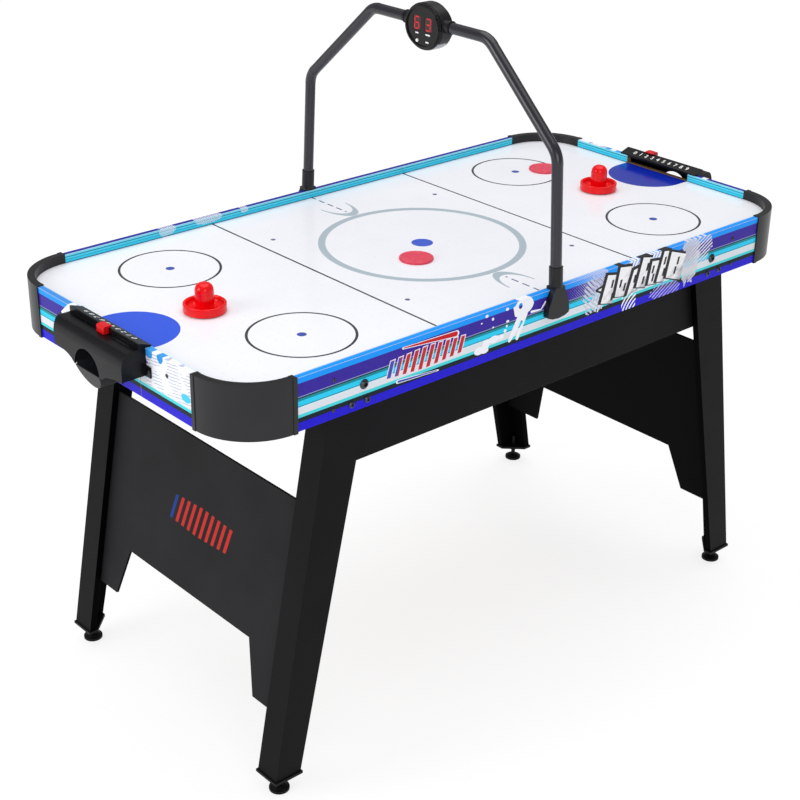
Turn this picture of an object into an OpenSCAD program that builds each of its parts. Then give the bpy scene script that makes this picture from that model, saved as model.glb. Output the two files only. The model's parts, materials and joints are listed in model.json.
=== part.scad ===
// Air hockey table with splayed legs, moulded goal units and an overhead scoring arch.
// +X runs along the length, -Y is the front long side, +Z is up, the floor is z = 0.
// Lengths are in millimetres.

/* [Table] */
// Length of the table over the end rails
table_l = 1500; // [1200:10:2400]
// Width of the table over the long rails
table_w = 754; // [600:2:1300]
// Height of the top edge of the rails
rail_top = 878; // [700:1:900]
// Height of the rails from bottom to top edge
rail_h = 102; // [70:1:160]
// Thickness of the rail boards
rail_t = 13; // [9:0.5:25]
// Height of the playing surface
field_z = 861; // [680:1:885]
// Thickness of the playing board
field_t = 9; // [5:0.5:18]
// Outside radius of the rounded table corners
corner_r = 120; // [60:1:124]
// Run of a corner cap along each side
cap_run = 126; // [125:1:210]
// How far a corner cap stands proud of the rails
cap_proud = 1.5; // [0.5:0.1:4]

/* [Goals] */
// Width of the goal mouth
goal_w = 182; // [120:2:320]
// Width of the goal housing outside the rail
house_w = 226; // [180:2:380]
// How far the goal housing stands out from the rail
house_d = 51; // [40:1:80]
// Height of the score strip crest above the rail top
crest_h = 11; // [6:0.5:18]
// Radius of the puck pick-up arch
pick_r = 41; // [38:0.5:55]
// Spacing of two neighbouring numbers on the score strip
score_pitch = 17.4; // [12:0.2:26]

/* [Legs] */
// Outward lean of the outer leg edge, in degrees
leg_lean = 10.44; // [0:0.1:16]
// Distance from the table centre to the outer leg edge at the leg bottom
leg_foot_x = 675; // [550:1:740]
// Width of a leg at the bottom
leg_w_low = 59; // [58:1:90]
// Width of a leg at the top
leg_w_top = 89; // [60:1:130]
// Width of the end board of a leg, across the table
leg_t = 57; // [52:1:70]
// How far the legs stand back from the inside of the long rails
leg_back = 5.5; // [1:0.5:8]
// Thickness of the two boards that make up a leg
leg_board = 15; // [10:1:15]
// Height of the leg bottom above the floor
leg_low_z = 40; // [25:1:70]
// Height of the leg top
leg_top_z = 845; // [800:1:850]
// Radius of the leveller foot disc
foot_r = 20; // [14:0.5:30]

/* [Panels] */
// Height of the top edge of the end panels
end_top_z = 582; // [450:2:700]
// Height of the middle cut-out edge of the end panels
end_notch_z = 266; // [200:2:380]
// Height of the bottom edge of the end panel ears
end_low_z = 156; // [80:2:190]
// Thickness of the end panels
end_t = 6; // [4:1:12]
// Height of the bottom edge of the side panels
side_low_z = 653; // [560:1:720]
// Thickness of the side panels
side_t = 12; // [9:1:18]

/* [Arch] */
// Outside radius of the arch tube
tube_r = 11; // [8:0.25:12]
// Wall thickness of the arch tube
tube_wall = 1.5; // [1:0.25:3]
// Height of the straight top run of the arch
arch_z = 1317; // [1150:1:1500]
// How far the top of the arch stands off centre, towards the front
arch_shift = 7; // [0:1:12]
// Inward lean of the arch uprights, in degrees
arch_lean = 3.3; // [0:0.1:8]
// Mean rise angle of the slanted arch runs, in degrees
arch_rise = 42; // [30:0.5:60]
// Bend radius of the arch tube on its axis
arch_bend = 45; // [30:1:80]
// Radius of the sockets that hold the arch
socket_r = 13.5; // [13:0.25:18]
// Height of the top of the arch sockets
socket_top = 922; // [895:1:960]

/* [Scorer] */
// Half width of the oval scorer barrel
scorer_a = 52; // [48:0.5:80]
// Half height of the oval scorer barrel
scorer_b = 46; // [42:0.5:70]
// Depth of the scorer over both faces
scorer_d = 40; // [36:1:60]
// Height of the scorer axis
scorer_z = 1310; // [1150:1:1480]

/* [Blower] */
// Distance of the blower axis from the table centre, towards +X
blower_x = 150; // [-250:5:250]
// Outside radius of the blower housing
blower_r = 105; // [80:1:140]
// Outside radius of the blower impeller
impeller_r = 80; // [50:1:95]
// Number of impeller blades
blade_n = 20; // [12:1:28]

/* [Playing pieces] */
// Radius of a striker base
striker_r = 41; // [30:0.5:50]
// Height of a striker over its knob
striker_h = 57; // [40:1:75]
// Height of the striker rim
striker_rim = 18; // [12:0.5:26]
// Radius of a striker knob
knob_r = 18; // [13:0.5:22]
// Radius of a puck
puck_r = 35; // [28:0.5:42]
// Thickness of a puck
puck_t = 5; // [3:0.25:8]

/* [Hidden] */
$fn = 72;
half_l = table_l / 2;
half_w = table_w / 2;
rail_low = rail_top - rail_h;
in_x = half_l - rail_t;
in_y = half_w - rail_t;
corner_x = half_l - corner_r;
corner_y = half_w - corner_r;
side_end = half_l - cap_run;
end_end = half_w - cap_run;
inner_r = corner_r - rail_t;
cap_low = rail_low - cap_proud;
cap_top = rail_top + cap_proud;
rib_w = 9;
rib_proud = 1.5;
gap = 0.3;

// Legs.
leg_slope = tan(leg_lean);
leg_out_top = leg_foot_x - leg_slope * (leg_top_z - leg_low_z);
leg_y_out = half_w - rail_t - leg_back;
leg_y_in = leg_y_out - leg_t;
leg_in_low = leg_foot_x - leg_w_low;
leg_in_top = leg_out_top - leg_w_top;
leg_in_slope = (leg_in_low - leg_in_top) / (leg_top_z - leg_low_z);
bolt_r = 4;
bolt_clear = 0.3;
big_bolt = [476, 822];
pair_bolts = [[504, 790.5], [468, 790]];
plate_t = 6;
plate_over = 3;
foot_x = leg_foot_x - leg_w_low / 2 + 4;
foot_y = leg_y_out - leg_t / 2 + 4;
stem_r = 5;
nut_h = 7;

// Air chamber between the playing board and its floor board.
chamber_x = 700;
chamber_y = leg_y_in - 1.5;
floor_top = 826;
floor_t = 6;
floor_low = floor_top - floor_t;
batten_w = 20;
batten_h = field_z - field_t - floor_top;
air_hole_r = 70;

// Panels.
end_back = leg_board + 0.2;
end_x_top = leg_out_top + leg_slope * (leg_top_z - end_top_z) - end_back;
side_y = leg_y_out - leg_board;
side_lap = 10;
bracket_l = 30;
bracket_t = 2;
bracket_w = 26;
inlet_x = -300;
inlet_z = 715;
inlet_w = 28;
inlet_h = 21;
inlet_d = 24;
switch_x = -255;
switch_w = 14;
switch_h = 22;
pivot_r = 1.5;

// Goal unit, drawn for the +X end.
wall_t = 3;
house_out = half_l + house_d;
house_low = rail_low + 50;
pick_y = -4;
pick_z = 808;
tray_r = 40;
tray_wall = 2.5;
tray_lean = 19.9;
tab_w = 18;
tab_y = house_w / 2 + 10;
tab_z = 836;
slot_x = half_l + 18;
slider_l = 24;
score_zero = 4.5 * score_pitch;
slider_left_at = 4;
slider_right_at = 2;

// Small screws, as [distance along the rail, height].
side_screws = [[543, 849.5], [545, 792.5]];
end_screw = [177, 848];
screw_r = 2;

// Arch path in the plane x = 0, with the first coordinate across the table.
base_y = 378;
base_z = 886;
bend1_z = 1138;
bend1_y = base_y - (bend1_z - base_z) * tan(arch_lean);
bend2_y = bend1_y - (arch_z - bend1_z) / tan(arch_rise);
dir1 = 90 + arch_lean;
dir3 = 180;
arm_end = 54;
collar_end = 67;
collar_r = tube_r + 1.5;
bracket_out = 13;
bend_step = 0.25;
bell = [
    [-12, 884],
    [-14, 878],
    [-18, 871],
    [-22, 861],
    [-27, 846],
    [-29, 832],
    [-28, 826.5],
    [-17, 822],
    [0, 820],
    [17, 822],
    [28, 826.5],
    [29, 832],
    [27, 846],
    [22, 861],
    [18, 871],
    [14, 878],
    [12, 884],
];

// Scorer.
half_d = scorer_d / 2;
bezel_d = 8;
barrel_half = half_d - bezel_d;
shell_t = 2.5;
face_in = 3;
bezel_lip = 3.5;
digit_w = 21;
digit_h = 28;
digit_y = 16.2;
digit_z = 6;
lens_half = 56;
button_r = 3.2;
button_y = 14;
button_z = -28;
button_travel = 2;

// Blower.
blower_low = 748;
grille_t = 4;
intake_r = 62;
motor_r = 28;
shaft_r = 4;
impeller_z = 784;
blade_h = 22;

// Rest places of the playing pieces.
striker_left_at = [-552, -10];
striker_right_at = [535.5, 0];
puck_centre_at = [-72, -62];
puck_far_at = [544, 178];
felt_t = 1.5;

// Side profile of the goal housing, as [distance along the table, height].
house_profile = [
    [half_l, house_low],
    [half_l, rail_top],
    [in_x, rail_top],
    [in_x, rail_top + 2.7],
    [half_l + 11, rail_top + crest_h],
    [half_l + 14, rail_top + crest_h],
    [half_l + 14, rail_top],
    [half_l + 38, rail_top],
    [half_l + 42, rail_top - 2],
    [half_l + 45.5, rail_top - 6.5],
    [half_l + 49, rail_top - 14.5],
    [house_out, rail_top - 27],
    [house_out, house_low],
];

cavity_profile = [
    [half_l - 1, house_low - 60],
    [half_l - 1, rail_top - wall_t],
    [half_l + 37, rail_top - wall_t],
    [half_l + 40, rail_top - 4.5],
    [half_l + 43, rail_top - 8.5],
    [half_l + 46, rail_top - 15.5],
    [house_out - wall_t, rail_top - 27],
    [house_out - wall_t, house_low - 60],
];

// Lower edge of the housing front, dropping towards the puck tray.
front_skirt = [
    [-house_w / 2, house_low + 1],
    [-house_w / 2, 824.5],
    [-82, 823.5],
    [-68, 820.5],
    [-56, 815.5],
    [-46, 808],
    [46, 808],
    [56, 815.5],
    [68, 820.5],
    [82, 823.5],
    [house_w / 2, 824.5],
    [house_w / 2, house_low + 1],
];

// ---- helpers ----

// Square with round corners, exact arcs.
module round_rect(hx, hy, r) {
    square([2 * hx, 2 * (hy - r)], center = true);
    square([2 * (hx - r), 2 * hy], center = true);
    for (sx = [-1, 1]) {
        for (sy = [-1, 1]) {
            translate([sx * (hx - r), sy * (hy - r)])
                circle(r = r);
        }
    }
}

// Cylinder along +Y that starts at the given y.
module y_rod(x, y, z, r, len) {
    translate([x, y, z])
        rotate([-90, 0, 0])
            cylinder(r = r, h = len);
}

// Cylinder along +X that starts at the given x.
module x_rod(x, y, z, r, len) {
    translate([x, y, z])
        rotate([0, 90, 0])
            cylinder(r = r, h = len);
}

// Profile in the X-Z plane, drawn out along Y from y0 to y1.
module along_y(points, y0, y1) {
    translate([0, y1, 0])
        rotate([90, 0, 0])
            linear_extrude(height = y1 - y0)
                polygon(points);
}

// Profile in the Y-Z plane, drawn out along X from x0 to x1.
module along_x(points, x0, x1) {
    translate([x0, 0, 0])
        rotate([90, 0, 90])
            linear_extrude(height = x1 - x0)
                polygon(points);
}

// ---- table top ----

module playfield() {
    color("WhiteSmoke")
        translate([0, 0, field_z - field_t])
            linear_extrude(height = field_t)
                round_rect(in_x - gap, in_y - gap, inner_r - gap);
}

module air_chamber_floor() {
    color("Tan")
        difference() {
            translate([0, 0, floor_low])
                linear_extrude(height = floor_t)
                    union() {
                        square([2 * chamber_x, 2 * chamber_y], center = true);
                        square([2 * (leg_in_top - 12), 2 * (side_y - side_t)], center = true);
                    }
            translate([blower_x, 0, floor_low - 1])
                cylinder(r = air_hole_r, h = floor_t + 2);
        }
}

module air_chamber_battens() {
    cross_l = chamber_y - batten_w - 45;
    color("Tan")
        translate([0, 0, floor_top]) {
            for (s = [-1, 1]) {
                translate([-chamber_x, s * (chamber_y - batten_w / 2) - batten_w / 2, 0])
                    cube([2 * chamber_x, batten_w, batten_h]);
                translate([s * (chamber_x - batten_w / 2) - batten_w / 2, -(chamber_y - batten_w), 0])
                    cube([batten_w, 2 * (chamber_y - batten_w), batten_h]);
                for (cx = [-420, 0, 420]) {
                    translate([cx - batten_w / 2, s * (40 + cross_l / 2) - cross_l / 2, 0])
                        cube([batten_w, cross_l, batten_h]);
                }
            }
        }
}

module long_rail(s) {
    out = s * half_w;
    difference() {
        translate([-side_end, min(out, out - s * rail_t), rail_low])
            cube([2 * side_end, rail_t, rail_h]);
        for (sx = [-1, 1]) {
            for (b = concat([big_bolt], pair_bolts)) {
                y_rod(sx * b[0], out - rail_t - 1, b[1], bolt_r + bolt_clear, 2 * rail_t + 2);
            }
            for (b = side_screws) {
                y_rod(sx * b[0], out - (s > 0 ? 11 : -11) - (s > 0 ? 0 : 12), b[1], screw_r + 0.1, 12);
            }
        }
    }
}

module rail_front() {
    color("RoyalBlue")
        long_rail(-1);
}

module rail_back() {
    color("RoyalBlue")
        long_rail(1);
}

module end_rail() {
    difference() {
        translate([in_x, -end_end, rail_low])
            cube([rail_t, 2 * end_end, rail_h]);
        translate([in_x - 1, -goal_w / 2, field_z])
            cube([rail_t + 2, goal_w, rail_h]);
        for (sy = [-1, 1]) {
            x_rod(half_l - 11, sy * end_screw[0], end_screw[1], screw_r + 0.1, 12);
            x_rod(half_l - 8, sy * tab_y, tab_z, screw_r + 0.1, 12);
        }
    }
}

module rail_end_right() {
    color("RoyalBlue")
        end_rail();
}

module rail_end_left() {
    color("RoyalBlue")
        rotate([0, 0, 180])
            end_rail();
}

// Outline of a corner cap in the first quadrant, rail run included.
module cap_outline(grow) {
    difference() {
        union() {
            translate([corner_x, corner_y])
                circle(r = corner_r + grow);
            translate([side_end, corner_y])
                square([corner_x - side_end, corner_r + grow]);
            translate([corner_x, end_end])
                square([corner_r + grow, corner_y - end_end]);
        }
        translate([corner_x, corner_y])
            circle(r = inner_r);
        translate([0, 0])
            square([corner_x, in_y]);
        translate([0, 0])
            square([in_x, corner_y]);
        translate([side_end - 200, 0])
            square([200, half_w + 20]);
        translate([0, end_end - 200])
            square([half_l + 20, 200]);
    }
}

module corner_cap() {
    translate([0, 0, cap_low])
        linear_extrude(height = cap_top - cap_low)
            cap_outline(cap_proud);
    intersection() {
        translate([0, 0, cap_low - 0.5])
            linear_extrude(height = cap_top - cap_low + 1)
                cap_outline(cap_proud + rib_proud);
        union() {
            translate([side_end, half_w - 40, cap_low - 2])
                cube([rib_w, 60, rail_h + 10]);
            translate([half_l - 40, end_end, cap_low - 2])
                cube([60, rib_w, rail_h + 10]);
        }
    }
}

module corner_cap_back_right() {
    color("DimGray")
        corner_cap();
}

module corner_cap_back_left() {
    color("DimGray")
        mirror([1, 0, 0])
            corner_cap();
}

module corner_cap_front_right() {
    color("DimGray")
        mirror([0, 1, 0])
            corner_cap();
}

module corner_cap_front_left() {
    color("DimGray")
        rotate([0, 0, 180])
            corner_cap();
}

// ---- goal units ----

module goal_housing() {
    hw = house_w / 2;
    difference() {
        union() {
            along_y(house_profile, -hw, hw);
            along_x(front_skirt, house_out - wall_t, house_out);
            along_y([
                [in_x, rail_top - 2.5],
                [in_x, rail_top + 1],
                [half_l + 2, rail_top + 1],
                [half_l + 2, rail_top - 2.5],
            ], -(goal_w / 2 - 0.3), goal_w / 2 - 0.3);
            for (sy = [-1, 1]) {
                translate([half_l, sy * (hw - 2 + tab_w / 2) - tab_w / 2, house_low])
                    cube([wall_t, tab_w, 20]);
            }
        }
        along_y(cavity_profile, -(hw - wall_t), hw - wall_t);
        intersection() {
            x_rod(house_out - 10, pick_y, pick_z, pick_r, 20);
            translate([house_out - 12, -60, pick_z])
                cube([24, 120, 60]);
        }
        translate([slot_x - 1.8, -(score_zero + 12), rail_top - 10])
            cube([3.6, 2 * (score_zero + 12), 20]);
        for (sy = [-1, 1]) {
            x_rod(half_l - 1, sy * tab_y, tab_z, screw_r + 0.2, 10);
        }
    }
}

module goal_housing_right() {
    color("DarkSlateGray")
        goal_housing();
}

module goal_housing_left() {
    color("DarkSlateGray")
        rotate([0, 0, 180])
            goal_housing();
}

// Scoop of radius r, closed at the front by a face that leans back towards the rail.
module scoop(r, x1) {
    intersection() {
        x_rod(half_l - 20, pick_y, pick_z + 4, r, 90);
        translate([x1, 0, pick_z])
            rotate([0, tray_lean, 0])
                translate([-120, -60, -60])
                    cube([120, 120, 120]);
        translate([half_l - 30, -60, pick_z - 60])
            cube([120, 120, 60 + 4]);
    }
}

module puck_tray() {
    back = half_l + gap;
    chute_out = house_w / 2 - wall_t - gap;
    difference() {
        intersection() {
            union() {
                scoop(tray_r, house_out);
                along_x([
                    [-chute_out, 830],
                    [-chute_out, 827.5],
                    [pick_y - tray_r + 1, pick_z + 1],
                    [pick_y - tray_r + 1, pick_z + 3.5],
                ], back, house_out - wall_t - gap);
                along_x([
                    [chute_out, 830],
                    [chute_out, 827.5],
                    [pick_y + tray_r - 1, pick_z + 1],
                    [pick_y + tray_r - 1, pick_z + 3.5],
                ], back, house_out - wall_t - gap);
            }
            translate([back, -200, 700])
                cube([100, 400, 200]);
        }
        scoop(tray_r - tray_wall, house_out - tray_wall);
        translate([house_out - wall_t - gap, -100, pick_z - 0.2])
            cube([20, 200, 60]);
    }
}

module puck_tray_right() {
    color("DimGray")
        puck_tray();
}

module puck_tray_left() {
    color("DimGray")
        rotate([0, 0, 180])
            puck_tray();
}

module score_slider() {
    head = [
        [half_l + 7.5, rail_top + crest_h + 0.6],
        [half_l + 7.5, rail_top + 14],
        [half_l + 10, rail_top + 15.5],
        [half_l + 23.5, rail_top + 15.5],
        [half_l + 26, rail_top + 13],
        [half_l + 26, rail_top + 0.4],
        [half_l + 14.6, rail_top + 0.4],
        [half_l + 14.6, rail_top + crest_h + 0.6],
    ];
    along_y(head, -slider_l / 2, slider_l / 2);
    translate([slot_x - 1.4, -5, rail_top - 6])
        cube([2.8, 10, 8]);
    translate([slot_x - 3.2, -5, rail_top - 7])
        cube([6.4, 10, 3.6]);
}

module score_slider_right() {
    color("Red")
        translate([0, score_zero - slider_right_at * score_pitch, 0])
            score_slider();
}

module score_slider_left() {
    color("Red")
        rotate([0, 0, 180])
            translate([0, score_zero - slider_left_at * score_pitch, 0])
                score_slider();
}

// Screw whose head sits on the plane at height 0 and whose shank points down.
module small_screw(len) {
    cylinder(r1 = 4, r2 = 2.8, h = 1.6);
    translate([0, 0, -len])
        cylinder(r = screw_r, h = len);
}

module small_screws() {
    color("Gray") {
        for (sx = [-1, 1]) {
            for (b = side_screws) {
                translate([sx * b[0], -half_w, b[1]])
                    rotate([90, 0, 0])
                        small_screw(10);
                translate([sx * b[0], half_w, b[1]])
                    rotate([-90, 0, 0])
                        small_screw(10);
            }
            for (sy = [-1, 1]) {
                translate([sx * half_l, sy * end_screw[0], end_screw[1]])
                    rotate([0, sx * 90, 0])
                        small_screw(10);
                translate([sx * (half_l + wall_t), sy * tab_y, tab_z])
                    rotate([0, sx * 90, 0])
                        small_screw(10);
            }
        }
    }
}

// ---- legs ----

// Distance of the outer and the inner leg edge from the table centre at a height.
function leg_out(z) = leg_foot_x - leg_slope * (z - leg_low_z);
function leg_in(z) = leg_in_low - leg_in_slope * (z - leg_low_z);

// Leg of an end board and a side board that meet in an L, with a packing pad behind the rail.
module leg() {
    z0 = leg_low_z - 1;
    z1 = leg_top_z + 1;
    pad_z = rail_low + 2;
    difference() {
        union() {
            along_y([
                [leg_in(leg_low_z), leg_low_z],
                [leg_in(leg_top_z), leg_top_z],
                [leg_out(leg_top_z), leg_top_z],
                [leg_out(leg_low_z), leg_low_z],
            ], leg_y_in, leg_y_out);
            along_y([
                [leg_in(pad_z), pad_z],
                [leg_in(leg_top_z), leg_top_z],
                [leg_out(leg_top_z), leg_top_z],
                [leg_out(pad_z), pad_z],
            ], leg_y_out - 1, leg_y_out + leg_back);
        }
        along_y([
            [leg_in(z0) - 20, z0],
            [leg_in(z1) - 20, z1],
            [leg_out(z1) - leg_board, z1],
            [leg_out(z0) - leg_board, z0],
        ], leg_y_in - 1, leg_y_out - leg_board);
        for (b = concat([big_bolt], pair_bolts)) {
            y_rod(b[0], leg_y_out - leg_board - 1, b[1], bolt_r + bolt_clear, leg_board + leg_back + 2);
        }
    }
}

module leg_back_right() {
    color("DarkSlateGray")
        leg();
}

module leg_back_left() {
    color("DarkSlateGray")
        mirror([1, 0, 0])
            leg();
}

module leg_front_right() {
    color("DarkSlateGray")
        mirror([0, 1, 0])
            leg();
}

module leg_front_left() {
    color("DarkSlateGray")
        rotate([0, 0, 180])
            leg();
}

// Plate under one leg, its open inner corner cut off.
module end_plate() {
    x0 = leg_in_low - plate_over;
    x1 = leg_foot_x + plate_over;
    y0 = leg_y_in - plate_over;
    y1 = leg_y_out + plate_over;
    strip = leg_board + 2 * plate_over;
    difference() {
        translate([0, 0, leg_low_z - plate_t])
            linear_extrude(height = plate_t)
                polygon([
                    [x1, y0],
                    [x1, y1],
                    [x0, y1],
                    [x0, y1 - strip],
                    [x1 - strip, y0],
                ]);
        translate([foot_x, foot_y, leg_low_z - plate_t - 1])
            cylinder(r = stem_r + 0.4, h = plate_t + 2);
    }
}

module leg_end_plates() {
    color("DimGray")
        for (turn = [0, 180]) {
            rotate([0, 0, turn]) {
                end_plate();
                mirror([1, 0, 0])
                    end_plate();
            }
        }
}

module bolt(head_r, head_h, len) {
    cylinder(r = head_r, h = head_h);
    translate([0, 0, -len])
        cylinder(r = bolt_r, h = len);
}

module leg_bolts() {
    reach = rail_t + leg_back + leg_board + 6;
    color("Black")
        for (sx = [-1, 1]) {
            for (sy = [-1, 1]) {
                translate([sx * big_bolt[0], sy * half_w, big_bolt[1]])
                    rotate([-sy * 90, 0, 0])
                        bolt(9.5, 4.5, reach);
                for (b = pair_bolts) {
                    translate([sx * b[0], sy * half_w, b[1]])
                        rotate([-sy * 90, 0, 0])
                            bolt(6.5, 3, reach);
                }
            }
        }
}

// Levelling foot at the origin: disc, hub, seated nut and threaded stem in one piece.
module leveller() {
    nut_z = leg_low_z - plate_t - nut_h;
    cylinder(r = foot_r, h = 6);
    translate([0, 0, 6])
        cylinder(r1 = foot_r - 2, r2 = 11, h = 5);
    cylinder(r = stem_r, h = leg_low_z + 24);
    translate([0, 0, nut_z])
        cylinder(r = 11, h = nut_h, $fn = 6);
}

module leveller_front_left() {
    color("Black")
        translate([-foot_x, -foot_y, 0])
            leveller();
}

module leveller_front_right() {
    color("Black")
        translate([foot_x, -foot_y, 0])
            leveller();
}

module leveller_back_left() {
    color("Black")
        translate([-foot_x, foot_y, 0])
            leveller();
}

module leveller_back_right() {
    color("Black")
        translate([foot_x, foot_y, 0])
            leveller();
}

// ---- panels ----

// Distance down the leaning end panel that matches a height.
function down(z) = (end_top_z - z) / cos(leg_lean);

module lean_end() {
    translate([end_x_top, 0, end_top_z])
        rotate([0, -leg_lean, 0])
            children();
}

module end_panel() {
    ear_y = side_y - 0.2;
    lean_end()
        along_x([
            [-ear_y, 0],
            [ear_y, 0],
            [ear_y, -down(end_low_z)],
            [239, -down(end_low_z)],
            [206, -down(end_notch_z)],
            [-206, -down(end_notch_z)],
            [-239, -down(end_low_z)],
            [-ear_y, -down(end_low_z)],
        ], -end_t, 0);
}

module end_panel_right() {
    color("DarkSlateGray")
        end_panel();
}

module end_panel_left() {
    color("DarkSlateGray")
        rotate([0, 0, 180])
            end_panel();
}

module side_panel() {
    top_z = leg_top_z;
    x_low = leg_in(side_low_z) + side_lap;
    x_top = leg_in(top_z) + side_lap;
    along_y([
        [-x_low, side_low_z],
        [x_low, side_low_z],
        [x_top, top_z],
        [-x_top, top_z],
    ], side_y - side_t, side_y);
}

module side_panel_front() {
    color("DarkSlateGray")
        mirror([0, 1, 0])
            side_panel();
}

module side_panel_back() {
    color("DarkSlateGray")
        difference() {
            side_panel();
            translate([inlet_x - inlet_w / 2 - 0.3, side_y - side_t - 1, inlet_z - inlet_h / 2 - 0.3])
                cube([inlet_w + 0.6, side_t + 2, inlet_h + 0.6]);
            translate([switch_x - switch_w / 2 - 2.3, side_y - side_t - 1, inlet_z - switch_h / 2 - 2.3])
                cube([switch_w + 4.6, side_t + 2, switch_h + 4.6]);
        }
}

// Angle bracket with one flange in the plane x = 0 and one in the plane y = 0.
module angle_bracket() {
    difference() {
        union() {
            cube([bracket_t, bracket_l, bracket_w]);
            cube([bracket_l, bracket_t, bracket_w]);
        }
        translate([-1, bracket_l * 0.65, bracket_w / 2])
            rotate([0, 90, 0])
                cylinder(r = 2.5, h = 6);
        translate([bracket_l * 0.65, -1, bracket_w / 2])
            rotate([-90, 0, 0])
                cylinder(r = 2.5, h = 6);
    }
}

module panel_brackets() {
    color("Silver") {
        for (turn = [0, 180]) {
            rotate([0, 0, turn])
                for (low = [60, 330]) {
                    lean_end()
                        translate([-end_t, -side_y, -low])
                            mirror([1, 0, 0])
                                angle_bracket();
                    lean_end()
                        translate([-end_t, side_y, -low])
                            rotate([0, 0, 180])
                                angle_bracket();
                }
            rotate([0, 0, turn])
                for (bx = [-340, 0, 340]) {
                    translate([bx - bracket_w / 2, side_y - side_t, floor_low])
                        rotate([0, 90, 0])
                            rotate([0, 0, -90])
                                angle_bracket();
                }
        }
    }
}

// ---- arch and scorer ----

// Straight run of the arch in its own plane.
module run(p, a, len, r) {
    translate(p)
        rotate([0, 0, a])
            rotate([0, 90, 0])
                cylinder(r = r, h = len);
}

// Bend that starts at p, heading along angle a and turning left.
module bend(p, a, turn, r) {
    translate([p[0] - arch_bend * sin(a), p[1] + arch_bend * cos(a)])
        rotate([0, 0, a - 90])
            rotate_extrude(angle = turn)
                translate([arch_bend, 0])
                    circle(r = r);
}

function ahead(p, a, d) = [p[0] + d * cos(a), p[1] + d * sin(a)];

// Centre line of one arch tube as a solid of radius r, its top moved by the given shift.
module arch_path(r, extra, shift) {
    start = ahead([base_y, base_z], dir1, -extra);
    corner1 = [bend1_y, bend1_z];
    corner2 = [bend2_y + shift, arch_z];
    dir2 = 180 - atan2(arch_z - bend1_z, bend1_y - corner2[0]);
    turn1 = dir2 - dir1;
    turn2 = dir3 - dir2;
    tan1 = arch_bend * tan(turn1 / 2);
    tan2 = arch_bend * tan(turn2 / 2);
    in1 = ahead(corner1, dir1, -tan1);
    out1 = ahead(corner1, dir2, tan1);
    in2 = ahead(corner2, dir2, -tan2);
    out2 = ahead(corner2, dir3, tan2);
    lap = 1;
    run(start, dir1, norm(in1 - start) + lap, r);
    bend(in1, dir1, turn1, r + bend_step);
    run(ahead(out1, dir2, -lap), dir2, norm(in2 - out1) + 2 * lap, r);
    bend(in2, dir2, turn2, r + bend_step);
    run(ahead(out2, dir3, -lap), dir3, out2[0] - arm_end - shift + extra + lap, r);
}

module arch_tube(shift) {
    difference() {
        rotate([90, 0, 90])
            arch_path(tube_r, 0, shift);
        rotate([90, 0, 90])
            arch_path(tube_r - tube_wall, 1, shift);
    }
}

module arch_tube_back() {
    color("DarkSlateGray")
        arch_tube(-arch_shift);
}

module arch_tube_front() {
    color("DarkSlateGray")
        mirror([0, 1, 0])
            arch_tube(arch_shift);
}

module arch_socket() {
    foot_h = 6;
    top_len = (socket_top - base_z) / cos(arch_lean);
    difference() {
        union() {
            along_y(bell, half_w, half_w + bracket_out);
            translate([0, 0, rail_top])
                translate([-socket_r, half_w - 10, 0])
                    cube([2 * socket_r, 10 + bracket_out, foot_h]);
            rotate([90, 0, 90])
                run(ahead([base_y, base_z], dir1, -4), dir1, top_len + 4, socket_r);
        }
        rotate([90, 0, 90])
            run([base_y, base_z], dir1, top_len + 10, tube_r + 0.1);
        translate([-50, half_w - 40, rail_top - 50])
            cube([100, 40, 50]);
    }
}

module arch_socket_back() {
    color("Black")
        arch_socket();
}

module arch_socket_front() {
    color("Black")
        mirror([0, 1, 0])
            arch_socket();
}

// Oval disc between two x values, centred on the scorer axis.
module x_oval(x0, x1, a, b) {
    along_x([for (t = [0:5:355]) [a * cos(t), scorer_z + b * sin(t)]], x0, x1);
}

module scorer_collars() {
    color("Black")
        translate([0, -arch_shift, 0])
            for (turn = [0, 180]) {
                rotate([0, 0, turn])
                    difference() {
                        union() {
                            y_rod(0, 40, arch_z, collar_r, collar_end - 40);
                            y_rod(0, collar_end - 6, arch_z, collar_r + 1, 4);
                        }
                        y_rod(0, arm_end, arch_z, tube_r + 0.1, 60);
                        x_oval(-60, 60, scorer_a, scorer_b);
                    }
            }
}

// Barrel ring of the scorer, cut to the arc below or above the lens edge.
module lens_wedge(half_a) {
    x_len = scorer_d;
    reach = 100;
    translate([-x_len / 2, 0, scorer_z])
        rotate([90, 0, 90])
            linear_extrude(height = x_len)
                polygon([
                    [0, 0],
                    [-reach * sin(half_a), -reach * cos(half_a)],
                    [-reach, -2 * reach],
                    [reach, -2 * reach],
                    [reach * sin(half_a), -reach * cos(half_a)],
                ]);
}

module barrel_ring(out, depth) {
    difference() {
        x_oval(-barrel_half, barrel_half, scorer_a - out, scorer_b - out);
        x_oval(-barrel_half - 1, barrel_half + 1, scorer_a - out - depth, scorer_b - out - depth);
    }
}

module scorer_barrel() {
    color("DimGray")
        translate([0, -arch_shift, 0])
            difference() {
                barrel_ring(0, shell_t);
                lens_wedge(lens_half);
            }
}

module scorer_lens() {
    color("Silver")
        translate([0, -arch_shift, 0])
            intersection() {
                union() {
                    barrel_ring(1, shell_t - 0.5);
                    for (i = [-3:3]) {
                        difference() {
                            x_oval(i * 3.2 - 0.8, i * 3.2 + 0.8, scorer_a, scorer_b);
                            x_oval(i * 3.2 - 1.8, i * 3.2 + 1.8, scorer_a - 2, scorer_b - 2);
                        }
                    }
                }
                lens_wedge(lens_half - 0.4);
            }
}

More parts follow.
